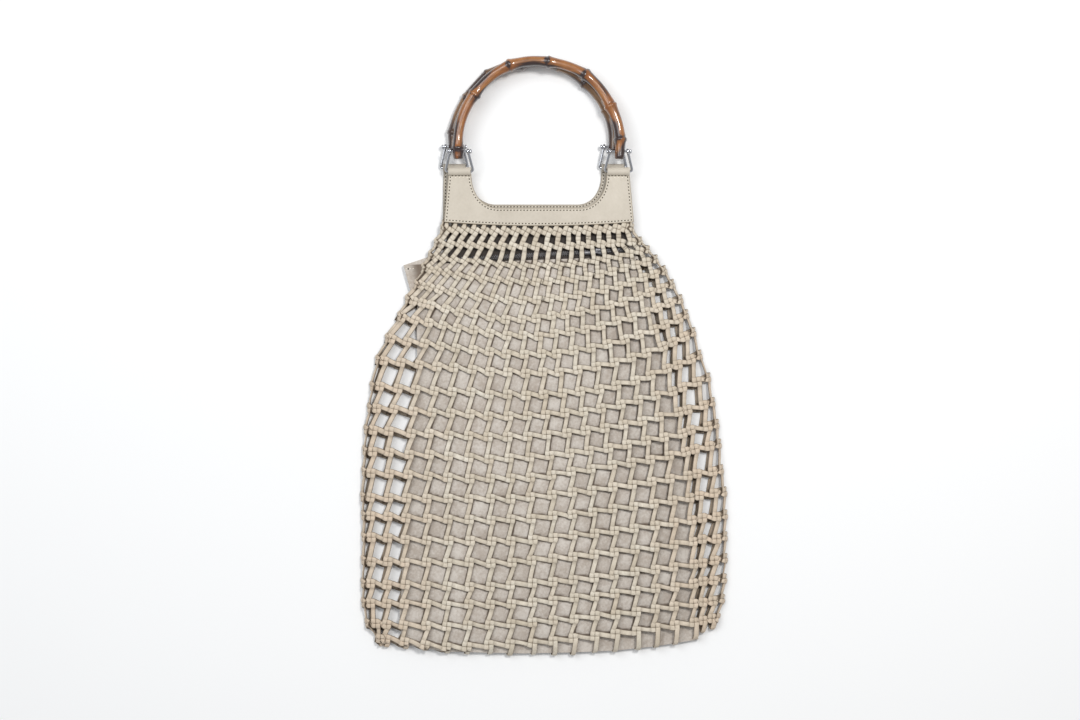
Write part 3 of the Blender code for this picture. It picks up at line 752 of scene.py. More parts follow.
def add_strip(bundle, path, normals, widths, thickness, tone, warm, crease):
    """One closed length of strip, with its raw edges marked. Returns its cut area in square metres."""
    along = unit(np.gradient(path, axis=0))
    side = unit(np.cross(along, normals))
    top = np.cross(side, along)
    profile = STRIP_PROFILE
    points = (path[:, None] + side[:, None] * (profile[None, :, :1] * widths[:, None, None] / 2)
              + top[:, None] * (profile[None, :, 1:] * thickness / 2))
    # What lies on the floor is pressed flat there.
    points[..., 2] = np.maximum(points[..., 2], 0.06)
    raw = np.tile(STRIP_RAW, len(path))
    bundle.add(points.reshape(-1, 3), tube_faces(len(path), len(profile)), tone=tone, warm=warm, raw=raw,
               crease=np.repeat(crease, len(profile)))
    length = np.linalg.norm(np.diff(path, axis=0), axis=1).sum()
    return length * float(widths.mean()) * MM * MM


def warmth(place):
    """Strips are rosier towards the sides of the bag."""
    return float(np.clip((abs(place[0]) - 95) / 90, 0, 0.75) + DRAW.uniform(0, 0.25))


def straight_run(start, end, out, press):
    """Stations between two pads: down off one knot, straight across, and up onto the next."""
    span = end - start
    length = np.linalg.norm(span)
    sideways = unit(np.cross(span, out))
    bow, lift = DRAW.normal(0, 0.25), DRAW.uniform(0.0, 0.4) * press
    # On a short run the steps at both ends are drawn in.
    shrink = min(1.0, length * 0.42 / STEP_DOWN[-1][0])
    shares, drops = [], []
    for distance, drop in STEP_DOWN:
        shares.append(distance * shrink / length)
        drops.append(drop * press * shrink)
    shares += [0.38, 0.62]
    drops += [STRAP_DROP * press * shrink - lift] * 2
    shares += [1 - share for share in shares[2::-1]]
    drops += drops[2::-1]
    bows = [bow * math.sin(math.pi * share) for share in shares]
    return np.array([start + span * share - out * drop + sideways * b
                     for share, drop, b in zip(shares, drops, bows)])


def strip_between(bundle, first, first_way, second, second_way, over=None):
    """A strip from one knot to the next. over gives extra stations and their outward directions between."""
    start, start_out, start_wide = knot_end(*first, first_way)
    end, end_out, end_wide = (values[::-1] for values in knot_end(*second, second_way))
    at_back = first[1] > COLUMNS
    narrow = STRIP_WIDE * DRAW.normal(1, 0.06) * min(1.0, KNOT_SIZES[first] + 0.08)
    if first[0] < UNKNOTTED_ROW < second[0]:
        narrow = CLOSE_STRIP
    elif first[0] < TOP_ROWS and first[0] != second[0]:
        narrow = TOP_STRIP
    if over is None:
        out = unit(start_out[-1] + end_out[0])
        run = straight_run(start[-1], end[0], out, BACK_PRESS if at_back else 1.0)
        outs = np.tile(out, (len(run), 1))
        # It narrows from its pad at either end to its own width.
        spread = np.array([0.85, 0.6, 0.25, 0, 0, 0.25, 0.6, 0.85])
        widths = narrow + (start_wide[-1] - narrow) * spread
        # Painted shade under the pads and where the strip steps down off them.
        crease = [*END_CREASE_SHADE, *STEP_CREASE_SHADE, *STEP_CREASE_SHADE[::-1], *END_CREASE_SHADE[::-1]]
    else:
        run, outs = over
        widths = np.full(len(run), narrow * 1.08)
        crease = [*END_CREASE_SHADE, *[0.0] * len(run), *END_CREASE_SHADE[::-1]]
    path = np.concatenate([start, run, end])
    normals = np.concatenate([start_out, outs, end_out])
    widths = np.concatenate([start_wide, widths, end_wide])
    twist = math.radians(DRAW.normal(0, 8))
    along = unit(np.gradient(path, axis=0))
    for index in range(END_STATIONS + 2, len(path) - END_STATIONS - 2):
        spin = Matrix.Rotation(twist, 3, Vector(along[index]))
        normals[index] = np.array(spin @ Vector(normals[index]))
    tone = float(np.clip(DRAW.normal(0.55, 0.22), 0, 1))
    thick = STRIP_THICK * (BACK_THIN if at_back else 1.0)
    return add_strip(bundle, path, normals, widths, thick, tone, warmth(path[7]), crease)


def yoke_tuck(bundle, number):
    """A strip from the top row up inside its yoke, where it is sewn."""
    x, y = KNOT_PLACES[0, number, :2]
    start, outs, wide = knot_end(0, number, "up")
    depths = (YOKE_LEVEL - 1.4, YOKE_LEVEL - 2.6) if number <= COLUMNS else (BACK_LEVEL + 1.3, 4.1)
    ends = np.array([(x, y + reach, depth) for reach, depth in zip((6.0, 9.5), depths)])
    path = np.concatenate([start, ends])
    normals = np.concatenate([outs, np.tile(outs[-1], (2, 1))])
    widths = np.concatenate([wide, [3.6, 3.6]])
    # Painted shade where the strip goes in under the yoke.
    crease = [*END_CREASE_SHADE, 0.0, 0.6]
    return add_strip(bundle, path, normals, widths, STRIP_THICK, 0.4, warmth(path[0]), crease)


def base_wrap(bundle, column):
    """A strip from a bottom knot of the front round the base edge to its knot at the back."""
    first, second = (LAST_ROW, column), (LAST_ROW, AROUND - column)
    front = KNOT_PLACES[first]
    x = front[0] + DRAW.normal(0.8, 0.6)
    edge = min(table_value(BASE_EDGE, x) + DRAW.normal(0, 0.5), front[1] - 6.0)
    stations = np.array([(x + 1.0, edge + 4.4, front[2] - 0.8), (x + 0.4, edge + 1.6, front[2] - 3.4),
                         (x - 0.3, edge + 0.4, 5.6), (x - 0.8, edge + 0.8, 3.0),
                         (x - 1.0, edge + 3.2, BACK_LEVEL)])
    outs = unit(np.array([(0, -0.25, 0.95), (0, -0.7, 0.7), (0, -1, 0.1), (0, -0.9, -0.45),
                          (0, -0.3, -0.95)]))
    return strip_between(bundle, first, "down", second, "down", (stations, outs))


def make_net():
    """All the strips, in five joined meshes, with the area of each mesh's strips added up."""
    bundles = {name: Bundle("tone", "warm", "raw", "crease")
               for name in ("front_down", "front_across", "back_down", "back_across", "edges")}
    areas = dict.fromkeys(bundles, 0.0)
    knotted = [row for row in range(LAST_ROW + 1) if row != UNKNOTTED_ROW]
    for row, below in zip(knotted, knotted[1:] + [None]):
        for number in range(AROUND):
            side = "front" if number <= COLUMNS else "back"
            if below:
                name = side + "_down"
                areas[name] += strip_between(bundles[name], (row, number), "down", (below, number), "up")
            name = side + "_across"
            after = (number + 1) % AROUND
            areas[name] += strip_between(bundles[name], (row, number), "right", (row, after), "left")
    for number in range(AROUND):
        areas["edges"] += yoke_tuck(bundles["edges"], number)
    for column in range(1, COLUMNS):
        areas["edges"] += base_wrap(bundles["edges"], column)
    for name, bundle in bundles.items():
        piece = bundle.piece("net_" + name, STRIP, "bag", "net_leather")
        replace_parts(piece, "net")
        side = math.sqrt(areas[name])


# ---------------------------------------------------------------- suede pouch


def pouch_line(share):
    """Ends of the pouch at a share of the way down it: left x and y, right x and y."""
    place = share * (len(POUCH) - 1)
    steps = range(len(POUCH))
    y, left, right = (np.interp(place, steps, [line[i] for line in POUCH]) for i in range(3))
    return left, y, right, y + blend(POUCH_TILT, POUCH_BASE_LIFT, share)


def net_cell(x, y):
    """Place in the gap of the net over each point, 0 to 1 down and across, and how close a strip lies."""
    heights = np.array([row_height(row, x) for row in range(LAST_ROW + 1)])
    down = np.zeros_like(x)
    across = np.zeros_like(x)
    tall = np.full_like(x, 20.0)
    wide = np.full_like(x, 20.0)
    for row in range(LAST_ROW):
        inside = (y <= heights[row]) & (y > heights[row + 1])
        share = np.where(inside, (heights[row] - y) / np.maximum(heights[row] - heights[row + 1], 1e-6), 0)
        down = np.where(inside, share, down)
        tall = np.where(inside, heights[row] - heights[row + 1], tall)
        for column in range(COLUMNS):
            left = blend(COLUMN_X[row, column], COLUMN_X[row + 1, column], share)
            right = blend(COLUMN_X[row, column + 1], COLUMN_X[row + 1, column + 1], share)
            held = inside & (x >= left) & (x < right)
            across = np.where(held, (x - left) / np.maximum(right - left, 1e-6), across)
            wide = np.where(held, right - left, wide)
    # Strips slant from pad to pad, so the gap between them is turned a little.
    offset = KNOT_END[0, 0]
    turned_down = (down + offset * (1 - 2 * across) / tall) % 1.0
    turned_across = (across - offset * (1 - 2 * down) / wide) % 1.0
    below = np.abs((turned_down + 0.5) % 1.0 - 0.5) * tall
    beside = np.abs((turned_across + 0.5) % 1.0 - 0.5) * wide
    close = 1 - smooth((np.minimum(below, beside) - STRIP_WIDE / 2 - 0.1) / 1.3)
    return turned_down, turned_across, np.where(down > 0, close, 0.0)


def pouch_grid(mid, puff, steps):
    """A panel as a grid: shares of the way down and across, x, y and z. It rises by puff in its middle."""
    down, over = steps
    share_down, share_over = np.meshgrid(np.linspace(0, 1, down), np.linspace(0, 1, over), indexing="ij")
    left, left_y, right, right_y = pouch_line(share_down)
    x = blend(left, right, share_over)
    y = blend(left_y, right_y, share_over)
    y = y + (table_value(POUCH_FOOT, x) - y[-1]) * smooth((share_down - 0.75) * 4)
    rise = (1 - (2 * share_over - 1) ** 4) * (1 - (2 * share_down - 1) ** 8) * puff
    return share_down, share_over, x, y, mid + rise


def make_pouch_front():
    """The front panel of suede, which swells a little in each gap of the net that lies on it."""
    share_down, share_over, x, y, z = pouch_grid(POUCH_FRONT_MID, POUCH_PUFF, (240, 204))
    cell_down, cell_over, close = net_cell(x, y)
    pillow = (np.sin(np.pi * cell_down) * np.sin(np.pi * cell_over)) ** 0.6
    inner = smooth(share_over * 14) * smooth((1 - share_over) * 14)
    z = z + MOUTH_RISE * smooth(1 - share_down * 8) + (1.3 * pillow - 0.2) * inner
    wave = 0.35 * np.sin(x / 17 + 1.3 * np.sin(y / 41)) + 0.3 * np.sin(y / 29 + x / 60)
    z = z + wave * inner
    x = x + 0.7 * np.sin(y / 13.0) * (1 - inner)
    grid = np.stack((x, y, z), axis=-1)
    # The suede carries painted shade where a strip of the net lies close over it.
    panel = thin_sheet("pouch_front_suede", grid, PANEL_THICK, SUEDE, "bag",
                       {"strip_shade": close * inner})
    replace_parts(panel, "pouch_front")


def make_pouch_back():
    """The back panel of suede, nearly flat on the net under it."""
    down, over = 100, 70
    x, y, z = pouch_grid(POUCH_BACK_MID, 0.0, (down, over))[2:]
    z = z + 0.12 * np.sin(x / 9 + y / 23)
    tops = []
    for top, left, right in POUCH_BACK_TOP:
        across = blend(left, right, np.linspace(0, 1, over))
        tops.append(np.stack((across, np.full(over, top), np.full(over, POUCH_BACK_MID)), axis=-1))
    grid = np.concatenate([np.array(tops), np.stack((x, y, z), axis=-1)])
    # The back panel carries no painted shade.
    panel = thin_sheet("pouch_back_suede", grid, PANEL_THICK, SUEDE, "bag",
                       {"strip_shade": np.zeros(grid.shape[:2])})
    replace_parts(panel, "pouch_back")


def sew_pouch_mouth():
    """A row of stitches along the front panel, just below its mouth."""
    left, left_y, right, right_y = pouch_line(0.012)
    height = POUCH_FRONT_MID + MOUTH_RISE + PANEL_THICK / 2 + 0.15
    shares = np.linspace(0.004, 0.996, 100)
    line = [(blend(left, right, share), blend(left_y, right_y, share) - 1.0, height) for share in shares]
    mouth = Seam()
    mouth.sew(line, (0, 0, 1.0))
    mouth.finish("pouch_mouth", "suede")


# ---------------------------------------------------------------- stitches


def stitch_at(place, along, up, length):
    """One stitch: a short swelling length of thread that dips in at both ends."""
    shares = np.linspace(-1, 1, 5)
    path = [place + along * s * length / 2 - up * 0.28 * s * s for s in shares]
    return sweep(path, [THREAD_RADIUS * (1.05 - 0.5 * s * s) for s in shares], 6, up)


class Seam:
    """Stitches and the needle holes between them, gathered into two meshes."""

    def __init__(self):
        self.threads = Bundle()
        self.holes = Bundle()

    def sew(self, line, up):
        """Stitches at even steps along a line of points, with up away from the leather."""
        line = np.asarray(line, float)
        up = np.asarray(up, float)
        lengths = np.concatenate([[0], np.cumsum(np.linalg.norm(np.diff(line, axis=0), axis=1))])
        count = max(int(lengths[-1] / STITCH_PITCH), 1)
        for number in range(count):
            here = (number + 0.5) * lengths[-1] / count
            stops = (here, here + 0.4, here + STITCH_PITCH / 2)
            place, ahead, end = np.transpose([np.interp(stops, lengths, line[:, i]) for i in range(3)])
            along = unit(unit(ahead - place) + np.cross(up, unit(ahead - place)) * STITCH_SLANT)
            self.threads.add(stitch_at(place, along, up, STITCH_PITCH * 0.55), tube_faces(5, 6))
            # Each needle hole is a small dark plug of painted shade.
            hole = [end + up * h for h in (-0.34, -0.1, 0.0)]
            self.holes.add(sweep(hole, [0.95, 0.92, 0.6], 8, along), tube_faces(3, 8))

    def finish(self, name, slot):
        """Makes the two meshes."""
        self.threads.piece(f"{name}_stitches", THREAD, "bag", slot)
        self.holes.piece(f"{name}_needle_holes", HOLE_SHADE, "bag", slot)


# ---------------------------------------------------------------- yokes

# Rounded rim and sewn groove of a panel: how far in, how far below its face, and edge colour: dark edge paint
# on the rim, and painted shade down in the groove.
RIM = ((0.0, 1.0, 1.0), (0.15, 0.5, 1.0), (0.55, 0.12, 0.6), (1.0, 0.0, 0.0), (1.7, 0.03, 0.05),
       (2.3, 0.4, 0.5), (2.9, 0.03, 0.05), (3.5, 0.0, 0.0))
# Rim of a rolled loop: how far in from its end, and radius.
LOOP_RIM = ((0.0, LOOP_BORE), (0.0, 3.5), (0.15, 3.95), (0.6, LOOP_OUTER))


def yoke_base(x):
    """Lower edge of the panel, which sags between its corners."""
    return YOKE_BASE_SIDE - YOKE_BASE_SAG * (1 - (x / YOKE_HALF_BASE) ** 2)


def yoke_outline():
    """The U-shaped panel about its middle, anticlockwise from its lower left corner."""
    wide, tall = CUT_CORNER
    base = [(x, yoke_base(x)) for x in np.linspace(-YOKE_HALF_BASE, YOKE_HALF_BASE, 41)]
    arm = [(blend(YOKE_HALF_BASE, YOKE_HALF_TOP, share), blend(YOKE_BASE_SIDE, ARM_TOP - 0.5, share))
           for share in np.linspace(0.12, 0.88, 8)]
    arm.append((YOKE_HALF_TOP - 0.1, ARM_TOP))
    # The arc starts a little way round, so that the rim's inner rings stay clear of the arm's corner.
    cut = [(CUT_HALF + 0.4, ARM_TOP)]
    for angle in np.linspace(0.08, math.pi / 2, 18):
        cut.append((CUT_HALF - wide + wide * math.cos(angle), CUT_FLOOR + tall - tall * math.sin(angle)))
    floor = [(x, CUT_FLOOR) for x in np.linspace(CUT_HALF - wide, -(CUT_HALF - wide), 16)[1:-1]]
    left_cut, left_arm = ([(-x, y) for x, y in reversed(line)] for line in (cut, arm))
    return np.array(base + arm + cut + floor + left_cut + left_arm)


def inset(outline, distance):
    """The outline moved inwards, its corners kept square."""
    ahead = unit(np.roll(outline, -1, axis=0) - outline)
    behind = np.roll(ahead, 1, axis=0)
    inward = np.stack((-ahead[:, 1], ahead[:, 0]), axis=-1)
    earlier = np.stack((-behind[:, 1], behind[:, 0]), axis=-1)
    both = inward + earlier
    return outline + both * distance / np.maximum(1 + np.einsum("ij,ij->i", inward, earlier), 0.4)[:, None]


def yoke_place(points, base_shift, top_shift, rise):
    """Places of a panel's points on the floor plan, shifted sideways by one amount at its base and
    another at its top."""
    share = (points[:, 1] - YOKE_BASE_SIDE) / (LOOP_Y - YOKE_BASE_SIDE)
    x = YOKE_X + points[:, 0] + blend(base_shift, top_shift, share)
    return np.stack((x, points[:, 1] + rise), axis=-1)


def yoke_panel(side, low, place):
    """A stiff plate of two layers of leather. place puts an outline on the floor plan."""
    outline = yoke_outline()
    high = low + YOKE_THICK
    rings = [(i, low + d, e) for i, d, e in reversed(RIM)] + [(i, high - d, e) for i, d, e in RIM]
    points = [np.column_stack((place(inset(outline, distance)), np.full(len(outline), z)))
              for distance, z, _ in rings]
    # Edge paint on the rim, and painted shade in the groove.
    edge = np.repeat([colour for _, _, colour in rings], len(outline))
    faces = tube_faces(len(rings), len(outline), ends="open")
    last = (len(rings) - 1) * len(outline)
    # Both faces of the plate have the same outline, so one set of triangles serves for both.
    for face in tessellate_polygon([[Vector(p) for p in points[-1]]]):
        first, second, third = (points[-1][corner] for corner in face)
        face = tuple(face) if np.cross(second - first, third - first)[2] > 0 else tuple(reversed(face))
        faces.append(tuple(last + corner for corner in face))
        faces.append(tuple(reversed(face)))
    panel = mesh_piece(f"yoke_{side}_panel", np.concatenate(points), faces, PANEL[side], "bag",
                       {"edge": edge}, flat_angle=60)
    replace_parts(panel, f"yoke_{side}")


def make_yoke(side, low, loop_z, top_shift, base_shift, rise):
    """A stitched panel with a rolled loop on each arm, the ends of the loops sewn down."""

    def place(points):
        return yoke_place(points, base_shift, top_shift, rise)

    yoke_panel(side, low, place)
    flat = place(inset(yoke_outline(), STITCH_INSET))
    arms = [YOKE_X + top_shift + sign * LOOP_ARM for sign in (-1, 1)]
    seam = Seam()
    for z, up in ((low + YOKE_THICK - HIGH_SEAM_DEPTH, 1.0), (low + LOW_SEAM_DEPTH, -1.0)):
        line = np.column_stack((flat, np.full(len(flat), z)))
        seam.sew(np.concatenate([line, line[:1]]), (0, 0, up))
        for x in arms:
            ends = (x - LOOP_SEAM_HALF, x + LOOP_SEAM_HALF)
            seam.sew([(end, LOOP_SEAM_Y + rise, z) for end in ends], (0, 0, up))
    seam.finish(f"yoke_{side}", "yoke_leather")
    loops = Bundle("edge")
    for x in arms:
        loops.add(*rolled_loop(np.array((x, LOOP_Y + rise, loop_z))), edge=0.0)
    rolls = loops.piece(f"yoke_{side}_loops", PANEL[side], "bag", "yoke_leather", flat_angle=60)
    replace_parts(rolls, f"yoke_{side}")


def rolled_loop(centre):
    """Leather rolled round the shackle's bar: a thick tube with rounded rims, a little wavy along."""
    rim = [(LOOP_HALF - reach, radius) for reach, radius in LOOP_RIM]
    profile = [(-x, radius) for x, radius in rim]
    profile += [(x, LOOP_OUTER - 0.12 * math.cos(x * 0.45) ** 2)
                for x in np.linspace(-LOOP_HALF + 1.5, LOOP_HALF - 1.5, 9)]
    profile += reversed(rim)
    return turned(centre, profile, LOOP_SIDES), tube_faces(len(profile), LOOP_SIDES, ends="joined")


# ---------------------------------------------------------------- zip

TAPE_TOP = 124.6  # the upper tape reaches up to here, under the top row of knots
LOWER_TAPE_WIDE = 13.5
CHAIN_GAP = 1.2  # from the middle of the chain to each tape
TOOTH_PITCH = 2.0
# A tooth and the slider's body: place along it, half width and half height.
TOOTH = ((-1.7, 0.42, 0.5), (-1.2, 0.55, 0.85), (0.5, 0.5, 0.9), (1.2, 0.36, 0.7), (1.5, 0.2, 0.4))
TOOTH_SECTION = ((-1, -1), (1, -1), (1, 0.6), (0.6, 1), (-0.6, 1), (-1, 0.6))
SLIDER = ((-5, 2.2, 0.5), (-4.4, 2.6, 1.0), (-1, 3.2, 1.15), (2, 3.9, 1.15), (4.4, 4.1, 1.0), (5, 3.7, 0.5))
# The bridge over the slider: place along it and height. The pull: place along it and half width.
BRIDGE = ((-3.2, 0.6), (-2.9, 1.5), (-1.6, 2.0), (1.6, 2.0), (2.9, 1.5), (3.2, 0.6))
PULL = ((-1.5, 1.0), (-4, 1.3), (-9, 1.7), (-14, 1.9), (-15.5, 1.0))
ZIP_WAY = unit(ZIP_RIGHT - ZIP_LEFT)
ZIP_ALONG = np.array((*ZIP_WAY, 0.0))
ZIP_ASIDE = np.array((-ZIP_WAY[1], ZIP_WAY[0], 0.0))
UP = np.array((0.0, 0.0, 1.0))


def along_zip(share, offset):
    """A place on the floor plan, at a share of the zip's length and an offset towards its upper side."""
    return blend(ZIP_LEFT, ZIP_RIGHT, share) + ZIP_ASIDE[:2] * offset


def make_zip_tapes():
    """Two charcoal tapes, each a little wavy along the zip."""
    upper, lower = [], []
    for share in np.linspace(0, 1, 90):
        edge = along_zip(share, CHAIN_GAP)
        top = np.array((edge[0], TAPE_TOP))
        upper.append([(*blend(edge, top, step), TAPE_MID + 0.15 * math.sin(share * 40 + step * 3))
                      for step in np.linspace(0, 1, 9)])
        low = [along_zip(share, -CHAIN_GAP - LOWER_TAPE_WIDE * step) for step in np.linspace(0, 1, 6)]
        lower.append([(*place, TAPE_MID + 0.12 * math.sin(share * 33 + index))
                      for index, place in enumerate(low)])
    for name, grid, wide in (("upper", upper, 0.026), ("lower", lower, 0.0145)):
        tape = thin_sheet(f"zip_tape_{name}_cotton", np.array(grid), TAPE_THICK, COTTON, "bag")
        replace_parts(tape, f"zip_tape_{name}")


def make_zip_chain():
    """Metal teeth that reach across the gap from either tape by turns."""
    chain = Bundle()
    span = np.linalg.norm(ZIP_RIGHT - ZIP_LEFT)
    for number in range(int(span / TOOTH_PITCH * 2)):
        share = (number + 0.5) * TOOTH_PITCH / 2 / span
        sign = 1 if number % 2 else -1
        place = np.array((*along_zip(share, sign * 0.9), TAPE_MID + 0.55))
        tooth = [place - ZIP_ASIDE * sign * reach + ZIP_ALONG * wide * across + UP * (tall * high)
                 for reach, wide, tall in TOOTH for across, high in TOOTH_SECTION]
        chain.add(np.array(tooth), tube_faces(len(TOOTH), len(TOOTH_SECTION)))
    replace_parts(chain.piece("zip_chain", NICKEL, "bag", "zip_metal", flat_angle=40), "zip_teeth")


def make_zip_slider():
    """A slider with squared sides, a bridge over it and a flat pull."""
    slider = Bundle()
    place = middle("zip_slider")
    body = []
    for reach, wide, tall in SLIDER:
        for angle in math.tau * np.arange(16) / 16:
            across, high = (abs(v) ** 0.5 * np.sign(v) for v in (math.cos(angle), math.sin(angle)))
            body.append(place + ZIP_ALONG * reach + ZIP_ASIDE * wide * across + UP * (tall * high * 0.7))
    slider.add(np.array(body), tube_faces(len(SLIDER), 16))
    bridge = [place + ZIP_ALONG * reach + UP * height for reach, height in BRIDGE]
    slider.add(sweep(bridge, 0.55, 8, ZIP_ASIDE), tube_faces(len(BRIDGE), 8))
    pull = [place + ZIP_ALONG * reach - ZIP_ASIDE * 1.2 + UP * 1.35 for reach, _ in PULL]
    rings = sweep(pull, 1.0, 12).reshape(len(PULL), 12, 3)
    for ring, (_, wide) in zip(rings, PULL):
        centre = ring.mean(axis=0)
        ring[:] = centre + (ring - centre) * np.array((wide, wide, 0.38))
    slider.add(rings.reshape(-1, 3), tube_faces(len(PULL), 12))
    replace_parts(slider.piece("zip_slider_and_pull", NICKEL, "bag", "zip_metal", flat_angle=40), "zip_slider")


# ---------------------------------------------------------------- handles, shackles and pins

ARCH_RADIUS = 80.0
ARCH_Y = 214.0
CANE = 5.0  # radius between the joints
CANE_SIDES = 32
# Each handle: how far its legs reach below the pins, its joints as angles round the arch, and its bud
# scars as an angle round the arch, one round the cane, and a height.
HANDLES = {
    "front": (7.6, (185, 144, 111, 83, 55, 26, 1),
              ((55, 100, 0.5), (111, 80, 0.5), (185, 90, 0.5), (83, 75, 0.4), (1, 100, 0.4))),
    "back": (5.0, (173, 146, 124, 99, 72, 49, 24), ((99, 90, 0.4), (146, 80, 0.5), (49, 100, 0.4))),
}
PIN_ABOVE_LOOP = 21.2  # from the front loops up to the pins
# The front handle tips down from its pins, so that the top of its arch lies lower than they do.
ARCH_DROP = 1.4
FRONT_TILT = math.atan2(-ARCH_DROP, ARCH_Y + ARCH_RADIUS - LOOP_Y - PIN_ABOVE_LOOP)
WIRE = 1.4  # radius of a shackle's rod
SHACKLE_TOP_HALF = 8.9
SHACKLE_BASE_HALF = 13.9
SHACKLE_BEND = 3.2
EYE_RING = 2.15  # radius of the ring that a shackle's eye makes round the pin
EYE_ROD = 0.68
EYE_HALF_WIDE = 1.25
EYE_STEPS = 24
EYE_SIDES = 10
PIN_RADIUS = 1.2
PIN_HEAD = 2.3
# End of a pin: place past the inner face of its head, and radius.
PIN_END = ((-0.02, PIN_RADIUS), (0.0, PIN_HEAD - 0.1), (0.15, PIN_HEAD), (0.8, PIN_HEAD), (1.3, 1.95),
           (1.65, 1.2), (1.78, 0.4))


def pin_middle(side):
    """Middle of the line between the two pins of a handle."""
    return (middle(f"pin_{side}_left") + middle(f"pin_{side}_right")) / 2


def hump(off, width):
    """A smooth hump that is 1 where off is 0."""
    return np.exp(-((off / width) ** 2))


def cane_path(side, tilt, angles, wander):
    """Middle line of the cane: straight legs below a half circle, tilted at the pins."""
    pin = pin_middle(side)
    turn = np.radians(np.clip(angles, 0, 180))
    down = np.abs(np.radians(angles) - turn) * ARCH_RADIUS
    reach = ARCH_RADIUS + wander
    x = reach * np.cos(turn)
    y = ARCH_Y - pin[1] + reach * np.sin(turn) - down
    return pin + np.stack((x, y * math.cos(tilt), y * math.sin(tilt)), axis=-1)


def cane_radius(angles, knuckles):
    """Radius along the cane: each joint is a sharp ridge on a swelling, with a groove beside it."""
    radius = np.full(len(angles), CANE)
    for index, knuckle in enumerate(knuckles):
        off = angles - knuckle
        radius += 0.8 * hump(off, 1.2) - 0.4 * hump(off - 1.7, 0.5)
        radius += 0.95 * hump(off, 4.2)
        # Between joints the cane is thicker or slimmer by an amount of its own.
        radius += 0.22 * math.sin(index * 2.4 + 0.6) * hump(off - 13, 9.0)
    # The ends are rounded.
    radius -= 0.9 * hump(np.minimum(angles - angles[0], angles[-1] - angles), 0.7)
    return radius


def cane_scorch(angles, knuckles):
    """Scorch along the cane: dark in the grooves of the joints, and at the ends."""
    scorch_and_shade = np.zeros(len(angles))
    for knuckle in knuckles:
        off = angles - knuckle
        scorch_and_shade += 0.28 * hump(off - 1.6, 0.6) + 0.08 * hump(off, 4.5)
    scorch_and_shade += 0.5 * hump(np.minimum(angles - angles[0], angles[-1] - angles), 6.0)
    return scorch_and_shade


def make_cane(side, tilt, material):
    """A bent bamboo cane: swollen joints with a groove, bud scars, and legs scorched at their ends."""
    below_pin, knuckles, scars = HANDLES[side]
    leg = math.degrees((ARCH_Y - pin_middle(side)[1] + below_pin) / ARCH_RADIUS)
    angles = np.linspace(-leg, 180 + leg, 300)
    # The cane bends a little at each joint, outwards at one and inwards at the next.
    bends = [(knuckle, 0.8 * (-1) ** number) for number, knuckle in enumerate(sorted(knuckles))]
    bends = [(angles[0], 0.0), *bends, (angles[-1], 0.0)]
    path = cane_path(side, tilt, angles, table_value(bends, angles))
    spokes = math.tau * np.arange(CANE_SIDES) / CANE_SIDES
    oval = 1 + 0.035 * np.sin(2 * spokes[None, :] + angles[:, None] / 17)
    radii = cane_radius(angles, knuckles)[:, None] * oval
    marks = np.broadcast_to(cane_scorch(angles, knuckles)[:, None], radii.shape).copy()
    for knuckle, spoke, tall in scars:
        along_off = (angles[:, None] - knuckle - 1.2) / 1.7
        round_off = (((spokes[None, :] - math.radians(spoke) + math.pi) % math.tau) - math.pi) / 0.5
        near = np.exp(-(along_off ** 2) - round_off ** 2)
        radii = radii + tall * near
        marks = marks + 2.0 * near ** 1.2
    # Painted shade runs dark down both flanks of the cane, and wanders up over it.
    wave = 0.6 * np.sin(angles / 11 + 2 * np.sin(angles / 23))[:, None]
    flank = np.abs(np.cos(spokes[None, :] + wave)) ** 2.2
    marks = marks + 1.3 * flank * (0.65 + 0.35 * np.sin(angles[:, None] / 7 + 1.0))
    fibres = {"scorch_and_shade": np.clip(marks, 0, 1.3).reshape(-1),
              "along": np.repeat(angles * 0.022, CANE_SIDES),
              "spoke_x": np.tile(np.cos(spokes), len(angles)),
              "spoke_y": np.tile(np.sin(spokes), len(angles))}
    points = sweep(path, radii, CANE_SIDES)
    faces = tube_faces(len(angles), CANE_SIDES)
    cane = mesh_piece(f"cane_{side}", points, faces, material, f"{side}_handle", fibres,
                      flat_angle=70)
    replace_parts(cane, f"handle_{side}")


def shackle_path(base, up, length):
    """Middle line of the rod: from one eye down its arm, round the bar in the loop, and up the other arm."""
    path = []
    for way in (-1, 1):
        foot = base + np.array((way * SHACKLE_BASE_HALF, 0, 0))
        eye = base + up * length + np.array((way * SHACKLE_TOP_HALF, 0, 0))
        arm = unit(eye - foot)
        bar = np.array((-way, 0.0, 0.0))
        run = [eye - arm * 1.2]
        run += [blend(eye, foot, share) for share in (0.25, 0.5, 0.7)]
        for share in np.linspace(0, 1, 7):
            run.append(foot + arm * SHACKLE_BEND * (1 - share) ** 2 + bar * SHACKLE_BEND * share ** 2)
        run.append(foot + bar * 8)
        path += run if way < 0 else run[::-1]
    return np.array(path)


